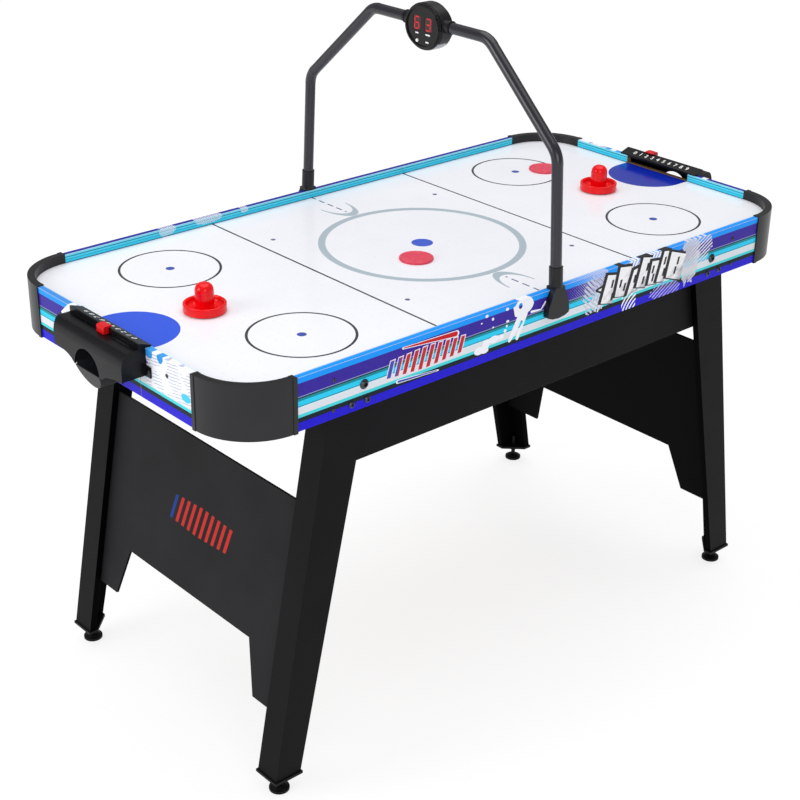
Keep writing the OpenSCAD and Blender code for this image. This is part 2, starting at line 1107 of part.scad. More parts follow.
// Face with a stepped bezel, drawn for the +X side.
module scorer_face() {
    x0 = barrel_half;
    difference() {
        union() {
            x_oval(x0, x0 + 3, scorer_a - 1, scorer_b - 1);
            x_oval(x0 + 2.9, x0 + 5.5, scorer_a - 2.5, scorer_b - 3.5);
            x_oval(x0 + 5.4, half_d, scorer_a - 4.3, scorer_b - 5.5);
        }
        x_oval(half_d - face_in, half_d + 1, scorer_a - 4.3 - bezel_lip, scorer_b - 5.5 - bezel_lip);
        for (sy = [-1, 1]) {
            translate([half_d - face_in - 4, sy * digit_y - digit_w / 2, scorer_z + digit_z - digit_h / 2])
                cube([10, digit_w, digit_h]);
        }
        x_rod(x0 - 1, -button_y, scorer_z + button_z, button_r + 0.3, 20);
    }
}

module scorer_face_right() {
    color("Black")
        translate([0, -arch_shift, 0])
            scorer_face();
}

module scorer_face_left() {
    color("Black")
        translate([0, -arch_shift, 0])
            rotate([0, 0, 180])
                scorer_face();
}

module digit_pair() {
    for (sy = [-1, 1]) {
        translate([half_d - face_in - 3.8, sy * digit_y - digit_w / 2 + 0.2, scorer_z + digit_z - digit_h / 2 + 0.2])
            cube([3.2, digit_w - 0.4, digit_h - 0.4]);
    }
}

module scorer_digits_right() {
    color("DarkRed")
        translate([0, -arch_shift, 0])
            digit_pair();
}

module scorer_digits_left() {
    color("DarkRed")
        translate([0, -arch_shift, 0])
            rotate([0, 0, 180])
                digit_pair();
}

module push_button() {
    x_rod(barrel_half - 1, -button_y, scorer_z + button_z, button_r, half_d - face_in - barrel_half + 3);
    x_rod(barrel_half - 2.6, -button_y, scorer_z + button_z, button_r + 1.6, 2.5);
}

module scorer_button_right() {
    color("White")
        translate([0, -arch_shift, 0])
            push_button();
}

module scorer_button_left() {
    color("White")
        translate([0, -arch_shift, 0])
            rotate([0, 0, 180])
                push_button();
}

// ---- blower and power ----

module blower_housing() {
    h = floor_low - blower_low;
    color("Gray")
        translate([blower_x, 0, blower_low])
            difference() {
                union() {
                    cylinder(r = blower_r, h = h);
                    translate([0, 0, h - 3])
                        cylinder(r = blower_r + 12, h = 3);
                }
                translate([0, 0, 3])
                    cylinder(r = blower_r - 3, h = h);
                translate([0, 0, -1])
                    cylinder(r = intake_r, h = 6);
            }
}

module blower_grille() {
    color("DimGray")
        translate([blower_x, 0, blower_low - grille_t]) {
            difference() {
                cylinder(r = intake_r + 8, h = grille_t);
                translate([0, 0, -1])
                    cylinder(r = intake_r, h = grille_t + 2);
            }
            for (rr = [motor_r + 12, motor_r + 24]) {
                difference() {
                    cylinder(r = rr + 1.5, h = grille_t);
                    translate([0, 0, -1])
                        cylinder(r = rr - 1.5, h = grille_t + 2);
                }
            }
            cylinder(r = motor_r + 2, h = grille_t);
            for (a = [0:45:315]) {
                rotate([0, 0, a])
                    translate([0, -2, 0])
                        cube([intake_r + 4, 4, grille_t]);
            }
        }
}

module blower_motor() {
    color("Silver")
        translate([blower_x, 0, blower_low]) {
            cylinder(r = motor_r, h = 26);
            translate([0, 0, 26])
                cylinder(r = 12, h = 4);
            cylinder(r = shaft_r, h = impeller_z + blade_h - blower_low);
        }
}

module blower_impeller() {
    color("LightGray")
        translate([blower_x, 0, impeller_z]) {
            difference() {
                union() {
                    cylinder(r = impeller_r, h = 2.5);
                    cylinder(r = 12, h = 18);
                }
                translate([0, 0, -1])
                    cylinder(r = shaft_r + 0.06, h = 40);
            }
            for (i = [0:blade_n - 1]) {
                rotate([0, 0, i * 360 / blade_n])
                    translate([impeller_r - 24, 0, 0])
                        rotate([0, 0, 25])
                            translate([0, -0.8, 1])
                                cube([20, 1.6, blade_h - 2]);
            }
            translate([0, 0, blade_h - 2])
                difference() {
                    cylinder(r = impeller_r, h = 2);
                    translate([0, 0, -1])
                        cylinder(r = impeller_r - 12, h = 4);
                }
        }
}

// Inlet socket and switch frame moulded as one unit behind a common flange.
module power_inlet() {
    flange = 5;
    dx = switch_x - inlet_x;
    color("Black")
        translate([inlet_x, side_y, inlet_z]) {
            difference() {
                union() {
                    translate([-inlet_w / 2, -inlet_d, -inlet_h / 2])
                        cube([inlet_w, inlet_d, inlet_h]);
                    translate([dx - switch_w / 2 - 2, -14, -switch_h / 2 - 2])
                        cube([switch_w + 4, 14, switch_h + 4]);
                    translate([-inlet_w / 2 - flange, 0, -switch_h / 2 - flange])
                        cube([dx + inlet_w / 2 + switch_w / 2 + 2 * flange, 3, switch_h + 2 * flange]);
                }
                translate([-12, -16, -8])
                    cube([24, 30, 16]);
                translate([dx - switch_w / 2, -12, -switch_h / 2])
                    cube([switch_w, 20, switch_h]);
            }
            for (i = [-1, 0, 1]) {
                translate([i * 7 - 1, -17, (i == 0 ? 2.5 : -1.5) - 2.5])
                    cube([2, 9, 5]);
            }
            for (sx = [-1, 1]) {
                x_rod(dx + sx * (switch_w / 2 - 0.7) - 1.3, 0, 0, pivot_r, 2.6);
            }
        }
}

module power_switch() {
    color("Black")
        translate([switch_x, side_y, inlet_z])
            difference() {
                along_x([
                    [-6, -6],
                    [-6, 6],
                    [0, 9.6],
                    [5.6, 9.2],
                    [3.6, 0],
                    [3.6, -9.6],
                    [0, -9.6],
                ], -(switch_w / 2 - 0.4), switch_w / 2 - 0.4);
                for (sx = [-1, 1]) {
                    x_rod(sx * switch_w / 2 - 2.4, 0, 0, pivot_r + 0.06, 4.8);
                }
            }
}

// ---- playing pieces ----

module striker() {
    wall = 3;
    z0 = field_z + felt_t;
    body_h = striker_h - felt_t;
    rim_h = striker_rim - felt_t;
    translate([0, 0, z0])
        rotate_extrude()
            polygon([
                [0, 0],
                [striker_r - 1, 0],
                [striker_r, 1],
                [striker_r, rim_h - 2],
                [striker_r - 1.2, rim_h - 0.4],
                [striker_r - 3, rim_h],
                [striker_r - 4.6, rim_h - 1],
                [striker_r - 6, rim_h - 5],
                [striker_r - 9, wall + 4],
                [striker_r - 13, wall + 1],
                [knob_r + 4, wall],
                [knob_r + 1, wall + 2],
                [knob_r, wall + 6],
                [knob_r, body_h - 16],
                [knob_r - 0.8, body_h - 11],
                [knob_r - 3, body_h - 6.5],
                [knob_r - 7, body_h - 2.8],
                [knob_r - 12, body_h - 0.7],
                [0, body_h],
            ]);
}

module felt() {
    translate([0, 0, field_z])
        difference() {
            cylinder(r = striker_r - 4, h = felt_t);
            translate([0, 0, -1])
                cylinder(r = striker_r - 14, h = felt_t + 2);
        }
}

module striker_left() {
    color("Red")
        translate(striker_left_at)
            striker();
}

module striker_right() {
    color("Red")
        translate(striker_right_at)
            striker();
}

module striker_felt_left() {
    color("Black")
        translate(striker_left_at)
            felt();
}

module striker_felt_right() {
    color("Black")
        translate(striker_right_at)
            felt();
}

module puck() {
    translate([0, 0, field_z])
        rotate_extrude()
            polygon([
                [0, 0],
                [puck_r - 1, 0],
                [puck_r, 1],
                [puck_r, puck_t - 1],
                [puck_r - 1, puck_t],
                [puck_r - 5, puck_t],
                [puck_r - 6, puck_t - 0.6],
                [0, puck_t - 0.6],
            ]);
}

module puck_centre() {
    color("Crimson")
        translate(puck_centre_at)
            puck();
}

module puck_far() {
    color("Crimson")
        translate(puck_far_at)
            puck();
}

// ---- drawing ----

playfield();
air_chamber_floor();
air_chamber_battens();
rail_front();
rail_back();
rail_end_left();
rail_end_right();
corner_cap_front_left();
corner_cap_front_right();
corner_cap_back_left();
corner_cap_back_right();
goal_housing_left();
goal_housing_right();
puck_tray_left();
puck_tray_right();
score_slider_left();
score_slider_right();
small_screws();
leg_front_left();
leg_front_right();
leg_back_left();
leg_back_right();
leg_end_plates();
leg_bolts();
leveller_front_left();
leveller_front_right();
leveller_back_left();
leveller_back_right();
end_panel_left();
end_panel_right();
side_panel_front();
side_panel_back();
panel_brackets();
arch_socket_front();
arch_socket_back();
arch_tube_front();
arch_tube_back();
scorer_collars();
scorer_barrel();
scorer_lens();
scorer_face_left();
scorer_face_right();
scorer_digits_left();
scorer_digits_right();
scorer_button_left();
scorer_button_right();
blower_housing();
blower_grille();
blower_motor();
blower_impeller();
power_inlet();
power_switch();
striker_left();
striker_right();
striker_felt_left();
striker_felt_right();
puck_centre();
puck_far();
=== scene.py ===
"""Air hockey table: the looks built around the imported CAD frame. Metres, +Z up, floor at z = 0."""

import json
import math

import bmesh
import bpy
from mathutils import Matrix, Vector


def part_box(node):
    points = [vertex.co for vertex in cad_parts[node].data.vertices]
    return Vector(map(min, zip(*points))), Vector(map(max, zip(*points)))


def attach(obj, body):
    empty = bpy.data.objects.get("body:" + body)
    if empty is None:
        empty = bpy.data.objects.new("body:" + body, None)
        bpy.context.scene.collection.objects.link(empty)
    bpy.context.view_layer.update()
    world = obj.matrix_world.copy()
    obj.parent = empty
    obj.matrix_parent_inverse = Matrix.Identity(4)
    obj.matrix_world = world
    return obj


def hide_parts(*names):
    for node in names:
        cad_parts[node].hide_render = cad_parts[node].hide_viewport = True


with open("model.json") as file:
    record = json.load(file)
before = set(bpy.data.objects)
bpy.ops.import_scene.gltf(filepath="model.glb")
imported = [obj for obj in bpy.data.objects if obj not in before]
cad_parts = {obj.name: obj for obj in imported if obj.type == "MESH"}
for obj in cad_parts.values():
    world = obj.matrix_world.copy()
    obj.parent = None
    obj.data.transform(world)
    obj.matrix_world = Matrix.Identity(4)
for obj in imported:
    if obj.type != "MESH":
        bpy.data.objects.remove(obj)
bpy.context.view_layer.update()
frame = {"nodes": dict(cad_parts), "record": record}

MM = 0.001
BODY_OF = {
    node: body
    for body, members in frame["record"]["behaviour"]["bodies"].items()
    for node in members
}

# Driving dimensions, in millimetres, read from the frame. Only the goal mouth is stated here.
HALF_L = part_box("rail_end_right")[1].x / MM
HALF_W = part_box("rail_back")[1].y / MM
RAIL_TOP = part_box("rail_back")[1].z / MM
RAIL_T = HALF_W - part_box("rail_back")[0].y / MM
RAIL_H = RAIL_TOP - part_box("rail_back")[0].z / MM
FIELD_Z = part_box("playfield")[1].z / MM
IN_X = HALF_L - RAIL_T
IN_Y = HALF_W - RAIL_T
MOUTH_HALF = 91
PANEL_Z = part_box("end_panel_left")[1].z / MM
SCORER = (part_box("scorer_face_left")[0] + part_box("scorer_face_left")[1]) / 2 / MM

# Printed field, in millimetres from its centre.
BLUE_LINE_X = 268.7
CENTRE_RING_R = 207.3
CENTRE_SPOT_R = 22.5
CIRCLE_X, CIRCLE_Y, CIRCLE_R = 481, 209.2, 99.5
NEUTRAL_X, NEUTRAL_Y = 226.3, 209
CREASE_X, CREASE_R = 707, 90
HOLE_PITCH, HOLE_R = 25.4, 0.5

# Rows of slanted bars: their lean, place and pitch on the end panels and on the long rails.
PANEL_BARS_DROP, PANEL_BARS_LEAN, PANEL_BARS_PITCH = 160, 0.25, 20
RAIL_BARS_X, RAIL_BARS_DEPTH, RAIL_BARS_LEAN, RAIL_BARS_PITCH = -315, 47, 0.3, 19

# Score strip: where the number 0 stands and how far apart the numbers are.
NUMBER_START, NUMBER_PITCH, NUMBER_SIZE = 78.3, 17.4, 15


# ---- camera, light and floor ----

def make_camera():
    """Camera at the viewing angle of a person standing off the front left corner."""
    azimuth, elevation, roll = (math.radians(a) for a in (41.73, 26.12, 0.80))
    forward = Vector((
        math.sin(azimuth) * math.cos(elevation),
        math.cos(azimuth) * math.cos(elevation),
        -math.sin(elevation),
    ))
    level = Vector((math.cos(azimuth), -math.sin(azimuth), 0))
    above = level.cross(forward)
    right = math.cos(roll) * level + math.sin(roll) * above
    up = math.cos(roll) * above - math.sin(roll) * level
    data = bpy.data.cameras.new("camera")
    data.lens = 72.93
    data.sensor_width = 36
    data.clip_start = 0.05
    data.clip_end = 60
    camera = bpy.data.objects.new("camera", data)
    camera.matrix_world = Matrix((right, up, -forward)).transposed().to_4x4()
    camera.location = (-2.1244, -2.3198, 2.0408)
    bpy.context.scene.collection.objects.link(camera)
    bpy.context.scene.camera = camera


def area_light(name, place, target, size, power):
    """Soft panel of size (wide, high) at place that faces target."""
    data = bpy.data.lights.new(name, "AREA")
    data.shape = "RECTANGLE"
    data.size, data.size_y = size
    data.energy = power
    light = bpy.data.objects.new(name, data)
    light.location = place
    light.rotation_euler = (Vector(target) - Vector(place)).to_track_quat("-Z", "Y").to_euler()
    bpy.context.scene.collection.objects.link(light)


def sun_light(name, towards, spread, strength):
    """Far overhead light that falls along a direction and is softened over a wide angle."""
    data = bpy.data.lights.new(name, "SUN")
    data.angle = math.radians(spread)
    data.energy = strength
    light = bpy.data.objects.new(name, data)
    light.rotation_euler = Vector(towards).to_track_quat("-Z", "Y").to_euler()
    bpy.context.scene.collection.objects.link(light)


def make_stage():
    """White studio: an even sky, one wide overhead light, two softboxes and a pale floor."""
    world = bpy.data.worlds.new("studio")
    world.use_nodes = True
    world.node_tree.nodes["Background"].inputs["Color"].default_value = (0.98, 0.99, 1, 1)
    world.node_tree.nodes["Background"].inputs["Strength"].default_value = 0.36
    bpy.context.scene.world = world
    bpy.context.scene.view_settings.view_transform = "Standard"
    sun_light("top_light", (-0.12, -0.10, -1), 70, 2.0)
    area_light("left_softbox", (-3.6, 0.9, 1.9), (-0.5, 0, 0.6), (1.8, 1.8), 46)
    area_light("front_softbox", (-1.8, -3.3, 1.9), (-0.2, 0, 0.7), (2.0, 1.6), 30)
    half = 20
    mesh = bpy.data.meshes.new("floor")
    corners = [(-half, -half, 0), (half, -half, 0), (half, half, 0), (-half, half, 0)]
    mesh.from_pydata(corners, [], [(0, 1, 2, 3)])
    floor = bpy.data.objects.new("floor", mesh)
    floor.location.z = -0.0004
    bpy.context.scene.collection.objects.link(floor)
    net = Net("studio_floor")
    colour = net.mix(net.noise(6, 3), hexa("#818181"), hexa("#858585"))
    net.finish(colour, 0.7 + net.noise(40) * 0.1, specular=0.05, glow=colour, glow_strength=3.5)
    floor.data.materials.append(net.material)


# ---- material building ----

def hexa(code):
    """Linear RGBA of a #rrggbb display colour."""
    parts = [int(code[i:i + 2], 16) / 255 for i in (1, 3, 5)]
    return tuple(c / 12.92 if c <= 0.04045 else ((c + 0.055) / 1.055) ** 2.4 for c in parts) + (1,)


def shade(colour, factor):
    """The colour made darker or brighter by a factor."""
    return tuple(min(1, c * factor) for c in colour[:3]) + (1,)


class Val:
    """A number on a node socket. Arithmetic on it adds math nodes."""

    def __init__(self, net, socket):
        self.net = net
        self.socket = socket

    def op(self, name, *others):
        return self.net.math(name, self, *others)

    def __add__(self, other):
        return self.op("ADD", other)

    def __sub__(self, other):
        return self.op("SUBTRACT", other)

    def __rsub__(self, other):
        return self.net.math("SUBTRACT", other, self)

    def __mul__(self, other):
        return self.op("MULTIPLY", other)

    def __truediv__(self, other):
        return self.op("DIVIDE", other)

    def __abs__(self):
        return self.op("ABSOLUTE")

    __radd__ = __add__
    __rmul__ = __mul__

    def over(self, other):
        return self.op("GREATER_THAN", other)

    def under(self, other):
        return self.op("LESS_THAN", other)

    def between(self, low, high):
        return self.over(low) * self.under(high)

    def most(self, other):
        return self.op("MAXIMUM", other)

    def least(self, other):
        return self.op("MINIMUM", other)

    def wrap(self, pitch):
        """Signed distance to the nearest multiple of pitch."""
        return ((self / pitch + 0.5).op("FRACT") - 0.5) * pitch

    def ease(self, low, high):
        """0 below low, 1 above high, smooth between."""
        made = self.net.node("ShaderNodeMapRange", interpolation_type="SMOOTHSTEP")
        self.net.put(self, made.inputs["Value"])
        made.inputs["From Min"].default_value = low
        made.inputs["From Max"].default_value = high
        return Val(self.net, made.outputs["Result"])


def away(a, b):
    """Length of the vector (a, b)."""
    return (a * a + b * b).op("SQRT")


class Net:
    """The node network of one material. Lengths in it are in millimetres of the row frame."""

    def __init__(self, name):
        self.material = bpy.data.materials.new(name)
        self.material.use_nodes = True
        self.tree = self.material.node_tree
        self.shader = self.tree.nodes["Principled BSDF"]
        scaled = self.node("ShaderNodeVectorMath", operation="SCALE")
        self.tree.links.new(self.node("ShaderNodeTexCoord").outputs["Object"], scaled.inputs[0])
        scaled.inputs["Scale"].default_value = 1 / MM
        self.place = scaled.outputs[0]
        split = self.node("ShaderNodeSeparateXYZ")
        self.tree.links.new(self.place, split.inputs[0])
        self.x, self.y, self.z = (Val(self, s) for s in split.outputs)

    def node(self, kind, **settings):
        """Adds a node and sets its properties."""
        made = self.tree.nodes.new(kind)
        for key, value in settings.items():
            setattr(made, key, value)
        return made

    def put(self, value, socket):
        """Links a value or socket to a socket, or stores a constant on it."""
        if isinstance(value, Val):
            self.tree.links.new(value.socket, socket)
        elif isinstance(value, bpy.types.NodeSocket):
            self.tree.links.new(value, socket)
        else:
            socket.default_value = value

    def math(self, name, *values):
        made = self.node("ShaderNodeMath", operation=name)
        for value, socket in zip(values, made.inputs):
            self.put(value, socket)
        return Val(self, made.outputs[0])

    def join(self, x, y, z=0.0):
        made = self.node("ShaderNodeCombineXYZ")
        for value, socket in zip((x, y, z), made.inputs):
            self.put(value, socket)
        return made.outputs[0]

    def noise(self, size, detail=2, at=None, stretch=(1, 1, 1)):
        """Noise from 0 to 1 whose grains are about size millimetres."""
        made = self.node("ShaderNodeTexNoise")
        mapping = self.node("ShaderNodeMapping")
        mapping.inputs["Scale"].default_value = [1 / (size * s) for s in stretch]
        self.tree.links.new(at or self.place, mapping.inputs["Vector"])
        self.tree.links.new(mapping.outputs[0], made.inputs["Vector"])
        made.inputs["Scale"].default_value = 1
        made.inputs["Detail"].default_value = detail
        return Val(self, made.outputs["Fac"])

    def cells(self, at):
        """Distance to the nearest of many scattered points."""
        made = self.node("ShaderNodeTexVoronoi", feature="F1", voronoi_dimensions="2D")
        self.tree.links.new(at, made.inputs["Vector"])
        made.inputs["Scale"].default_value = 1
        return Val(self, made.outputs["Distance"])

    def mix(self, mask, low, high):
        """Colour low where mask is 0 and high where it is 1."""
        made = self.node("ShaderNodeMix", data_type="RGBA")
        self.put(mask, made.inputs[0])
        self.put(low, made.inputs[6])
        self.put(high, made.inputs[7])
        return made.outputs[2]

    def paint(self, base, layers):
        """Lays (mask, colour) layers over a base colour, the last on top."""
        for mask, colour in layers:
            base = self.mix(mask, base, colour)
        return base

    def bands(self, value, stops, length):
        """Hard-edged bands: stops are (start, colour code) along value, from 0 to length."""
        made = self.node("ShaderNodeValToRGB")
        ramp = made.color_ramp
        ramp.interpolation = "CONSTANT"
        for _ in range(len(stops) - 2):
            ramp.elements.new(0.5)
        for element, (start, code) in zip(ramp.elements, stops):
            element.position = start / length
            element.color = hexa(code)
        self.put(value / length, made.inputs[0])
        return made.outputs["Color"]

    def normal(self):
        """The three parts of the surface normal."""
        split = self.node("ShaderNodeSeparateXYZ")
        self.tree.links.new(self.node("ShaderNodeTexCoord").outputs["Normal"], split.inputs[0])
        return [Val(self, s) for s in split.outputs]

    def bump(self, height, depth):
        """Height from 0 to 1 stands for depth millimetres."""
        made = self.node("ShaderNodeBump")
        made.inputs["Distance"].default_value = depth * MM
        self.put(height, made.inputs["Height"])
        self.tree.links.new(made.outputs[0], self.shader.inputs["Normal"])

    def finish(self, colour, roughness, **others):
        """Sets the shader's inputs, by the short names below."""
        names = {
            "specular": "Specular IOR Level",
            "coat": "Coat Weight",
            "coat_roughness": "Coat Roughness",
            "metallic": "Metallic",
            "glow": "Emission Color",
            "glow_strength": "Emission Strength",
        }
        self.put(colour, self.shader.inputs["Base Color"])
        self.put(roughness, self.shader.inputs["Roughness"])
        for key, value in others.items():
            self.put(value, self.shader.inputs[names[key]])


# ---- materials ----

def moulded(name, code, roughness=0.42, grain=0.9, depth=0.03, vary=0.10, specular=0.14, top=1):
    """Moulded plastic with a fine grain and slightly uneven gloss.

    grain and depth are in millimetres, vary is the unevenness of the colour, and the faces that
    look up take the base colour times top, which paints shade on them.
    """
    net = Net(name)
    base = hexa(code)
    mottle = net.noise(60, 4)
    colour = net.mix(mottle.ease(0.3, 0.7), shade(base, 1 - vary), shade(base, 1 + vary))
    # Painted shade: faces that look up get the base colour times top, darker than the lit sides.
    if top != 1:
        colour = net.mix(net.normal()[2].over(0.8), colour, shade(base, top))
    fine = net.noise(grain, 3)
    net.bump(fine, depth)
    net.finish(colour, roughness + (net.noise(18, 3) - 0.5) * 0.08, specular=specular)
    return net.material


def metal(name, code, roughness=0.3):
    """Plated steel with faint drawing lines."""
    net = Net(name)
    base = hexa(code)
    lines = net.noise(2.2, 4, stretch=(0.25, 6, 0.25))
    colour = net.mix(lines, shade(base, 0.82), shade(base, 1.1))
    net.bump(lines, 0.01)
    net.finish(colour, roughness + (lines - 0.5) * 0.2, metallic=1.0)
    return net.material


def board_wood():
    """Bare particle board: chips on the faces and pressed layers on the edges."""
    net = Net("bare_board")
    chips = net.cells(net.join(net.x / 4, net.y / 2.2 + net.z / 2.2))
    fibre = net.noise(1.6, 5, stretch=(4, 1, 1))
    base = net.mix(chips, hexa("#c9a878"), hexa("#8d6b41"))
    colour = net.mix(fibre.ease(0.4, 0.8), base, hexa("#dcc49a"))
    net.bump(chips * 0.6 + fibre * 0.4, 0.25)
    net.finish(colour, 0.8 + (fibre - 0.5) * 0.15, specular=0.3)
    return net.material


def black_laminate(name, code, emblem=False):
    """Black foil-wrapped board with a fine leather-like grain, and painted shade that darkens the
    faces that don't look outward.

    The emblem is a row of slanted bars.
    """
    net = Net(name)
    base = hexa(code)
    grain = net.noise(1.1, 4, stretch=(1, 1, 1.6))
    cloud = net.noise(140, 3)
    colour = net.mix(cloud.ease(0.25, 0.75), shade(base, 0.86), shade(base, 1.12))
    side = net.x.op("SIGN")
    face_x, face_y, _ = net.normal()
    outer = (face_x * side).most(face_y * net.y.op("SIGN")).over(0.3)
    # Painted shade: faces that don't look outward, such as backs and inner sides, take 0.3 of the
    # base colour.
    colour = net.mix(outer, shade(base, 0.3), colour)
    if emblem:
        down = PANEL_Z - PANEL_BARS_DROP - net.z
        across = net.y * side + down * PANEL_BARS_LEAN
        bars = emblem_bars(across - 17, down, PANEL_BARS_PITCH, 4.5, 32)
        first = -3 * PANEL_BARS_PITCH
        layers = [
            (bars * across.under(first), hexa("#23408a")),
            (bars * across.over(first), hexa("#c9302a")),
        ]
        colour = net.paint(colour, [(mask * outer, ink) for mask, ink in layers])
    net.bump(grain, 0.05)
    net.finish(colour, 0.5 + (net.noise(25, 3) - 0.5) * 0.1, specular=outer * 0.06 + 0.01)
    return net.material


def emblem_bars(across, down, pitch, half, reach):
    """Mask of a row of ten thin bars, the middle ones longer."""
    row = abs((across + pitch / 2).wrap(pitch)).under(half) * abs(across).under(pitch * 5)
    return row * abs(down).under(reach - abs(across) * 0.06)


def rail_bars(along, depth):
    """Layers of the row of bars on a long rail, over a pale halo. The first bars are blue."""
    across = along + depth * RAIL_BARS_LEAN - RAIL_BARS_X
    down = depth - RAIL_BARS_DEPTH
    bars = emblem_bars(across, down, RAIL_BARS_PITCH, 4.6, 21)
    halo = emblem_bars(across, down, RAIL_BARS_PITCH, 6.6, 23)
    return [
        (halo, hexa("#f0dfea")),
        (bars * across.under(-66), hexa("#3f4fb4")),
        (bars * across.over(-66), hexa("#c02530")),
    ]


def field_print():
    """Glossy white playing surface with its printed lines and its grid of air holes."""
    net = Net("field_print")
    x, y = net.x, net.y
    ax, ay = abs(x), abs(y)
    line = hexa("#3a3a40")
    pale = hexa("#aebcc6")
    centre = away(x, y)
    spot = away(ax - CIRCLE_X, ay - CIRCLE_Y)
    neutral = away(ax - NEUTRAL_X, ay - NEUTRAL_Y)
    crease = away((CREASE_X - ax).most(0), y)
    bow_outer = away(x / 36, (ay - 290) / 74)
    bow_inner = away(x / 33, (ay - 296) / 60)
    bow = bow_outer.under(1) * bow_inner.over(1) * ay.under(290)
    dashes = ax.under(2) * ay.between(244, IN_Y) * abs(ay.wrap(30)).under(9.5)
    # The air holes are grey dots: painted shade of their dark insides, with a dent in the bump.
    holes = away(x.wrap(HOLE_PITCH), y.wrap(HOLE_PITCH)).under(HOLE_R)
    holes = holes * ax.under(690) * ay.under(330)
    grey = net.mix(net.noise(90, 3), hexa("#f1f2f8"), hexa("#f7f8fd"))
    blue = net.mix(x.ease(-200, 200), hexa("#2a57e0"), hexa("#1028a8"))
    colour = net.paint(grey, [
        (abs(ax - BLUE_LINE_X).under(2.4), line),
        (dashes, hexa("#4a5276")),
        (bow, pale),
        (abs(centre - CENTRE_RING_R).under(7.5), pale),
        (centre.under(CENTRE_SPOT_R), hexa("#3558cf")),
        (abs(spot - CIRCLE_R).under(2.6), line),
        (spot.under(9), hexa("#3c50ac")),
        (neutral.under(5.2), hexa("#62628a")),
        (crease.under(CREASE_R + x.op("SIGN") * 1.5), blue),
        (holes, hexa("#8a8a90")),
    ])
    edge = net.z.under(FIELD_Z - 0.4)
    colour = net.mix(edge, colour, hexa("#b79c72"))
    net.bump(1 - holes + net.noise(30, 2) * 0.02, 0.4)
    net.finish(colour, 0.13 + net.noise(22, 3) * 0.08, specular=0.3)
    return net.material


# Stripes of the rails as (depth below the top edge, colour): the outer and the inner faces. The
# first, pale 1 mm band of the outer face is a painted highlight on the rounded top edge.
RAIL_BANDS = [
    (0, "#cfd2ea"), (1, "#0a96fb"), (11.5, "#35229a"), (36, "#8f9ccc"), (37.5, "#0f2a3c"),
    (40, "#128a94"), (45, "#25cdf5"), (54, "#0b6d84"), (55.5, "#cdeff8"), (58, "#dfe3ea"),
    (70, "#48d6de"), (76, "#0b1a28"), (85, "#1a0acc"),
]
INNER_BANDS = [
    (0, "#7fe4fb"), (3.4, "#0b86a0"), (5.2, "#55dcfa"), (9.2, "#14a3c4"),
    (10.4, "#3fd6f8"), (15.2, "#0d5f80"),
]


def rail_print(name, along, top_code, decor):
    """Printed foil round the rail boards: stripes by depth, with splashes over them, and painted
    highlights along the top edges.

    along is "x" or "y", the way the rail runs. decor(net, run, depth) gives two lists of layers
    over the stripes: those for the outer face and the top, then those for the inner face.
    """
    net = Net(name)
    run = net.x if along == "x" else net.y
    out = abs(net.y) - HALF_W if along == "x" else abs(net.x) - HALF_L
    depth = RAIL_TOP - net.z
    is_top = depth.under(0.45)
    outer_layers, inner_layers = decor(net, run, depth)
    outer = net.bands(depth, RAIL_BANDS, RAIL_H)
    outer = net.mix(is_top, outer, hexa(top_code))
    # Painted highlight: a pale line along the inner edge of the top, on the rounded edge.
    outer = net.mix(is_top * out.under(2.4 - RAIL_T), outer, hexa("#c5c8dc"))
    outer = net.paint(outer, outer_layers)
    inner = net.paint(net.bands(depth, INNER_BANDS, RAIL_H), inner_layers)
    colour = net.mix(out.under(0.6 - RAIL_T), outer, inner)
    if along == "y":
        cut_edge = abs(run).between(MOUTH_HALF - 0.5, MOUTH_HALF + 0.5)
        cut_edge = cut_edge + depth.between(16, 18) * abs(run).under(MOUTH_HALF)
        colour = net.mix(cut_edge, colour, hexa("#9c7a50"))
    ink = net.noise(1.2, 2)
    colour = net.mix(ink.ease(0.45, 0.95) * 0.06, colour, hexa("#ffffff"))
    net.bump(ink, 0.02)
    net.finish(colour, 0.26 + net.noise(30, 3) * 0.1, specular=0.1)
    return net.material


def stroke(run, depth, start, end, wide, thin):
    """Mask of a straight brush stroke between two (along, depth) points.

    wide and thin are its half widths at the start and at the end.
    """
    dx, dy = end[0] - start[0], end[1] - start[1]
    along, down = run - start[0], depth - start[1]
    part = (along * dx + down * dy) / (dx * dx + dy * dy)
    part = part.most(0).least(1)
    return away(along - part * dx, down - part * dy).under(wide - part * (wide - thin))


def hatch(net, run, depth, lean, pitch, fill, wobble=3.0):
    """Mask of parallel scratches that lean to the right going up.

    fill is the inked share from 0 to 1, and wobble the unevenness in millimetres.
    """
    shake = (net.noise(9, 3) - 0.5) * wobble
    return abs((run + depth * lean + shake).wrap(pitch)).under(fill * pitch * 0.5)


def oval(net, run, depth, centre, half, rough=0.0):
    """Mask of an oval at centre = (along, depth) with half widths half and an edge made rough."""
    reach = away((run - centre[0]) / half[0], (depth - centre[1]) / half[1])
    if rough:
        reach = reach + (net.noise(11, 3) - 0.5) * rough
    return reach.under(1)


def slab(run, depth, centre, half, lean, tilt=0.0):
    """Signed distance to a slanted block, below 0 inside it."""
    across = abs(run - centre[0] + (depth - centre[1]) * lean) - half[0]
    down = abs(depth - centre[1] + (run - centre[0]) * tilt) - half[1]
    return across.most(down)


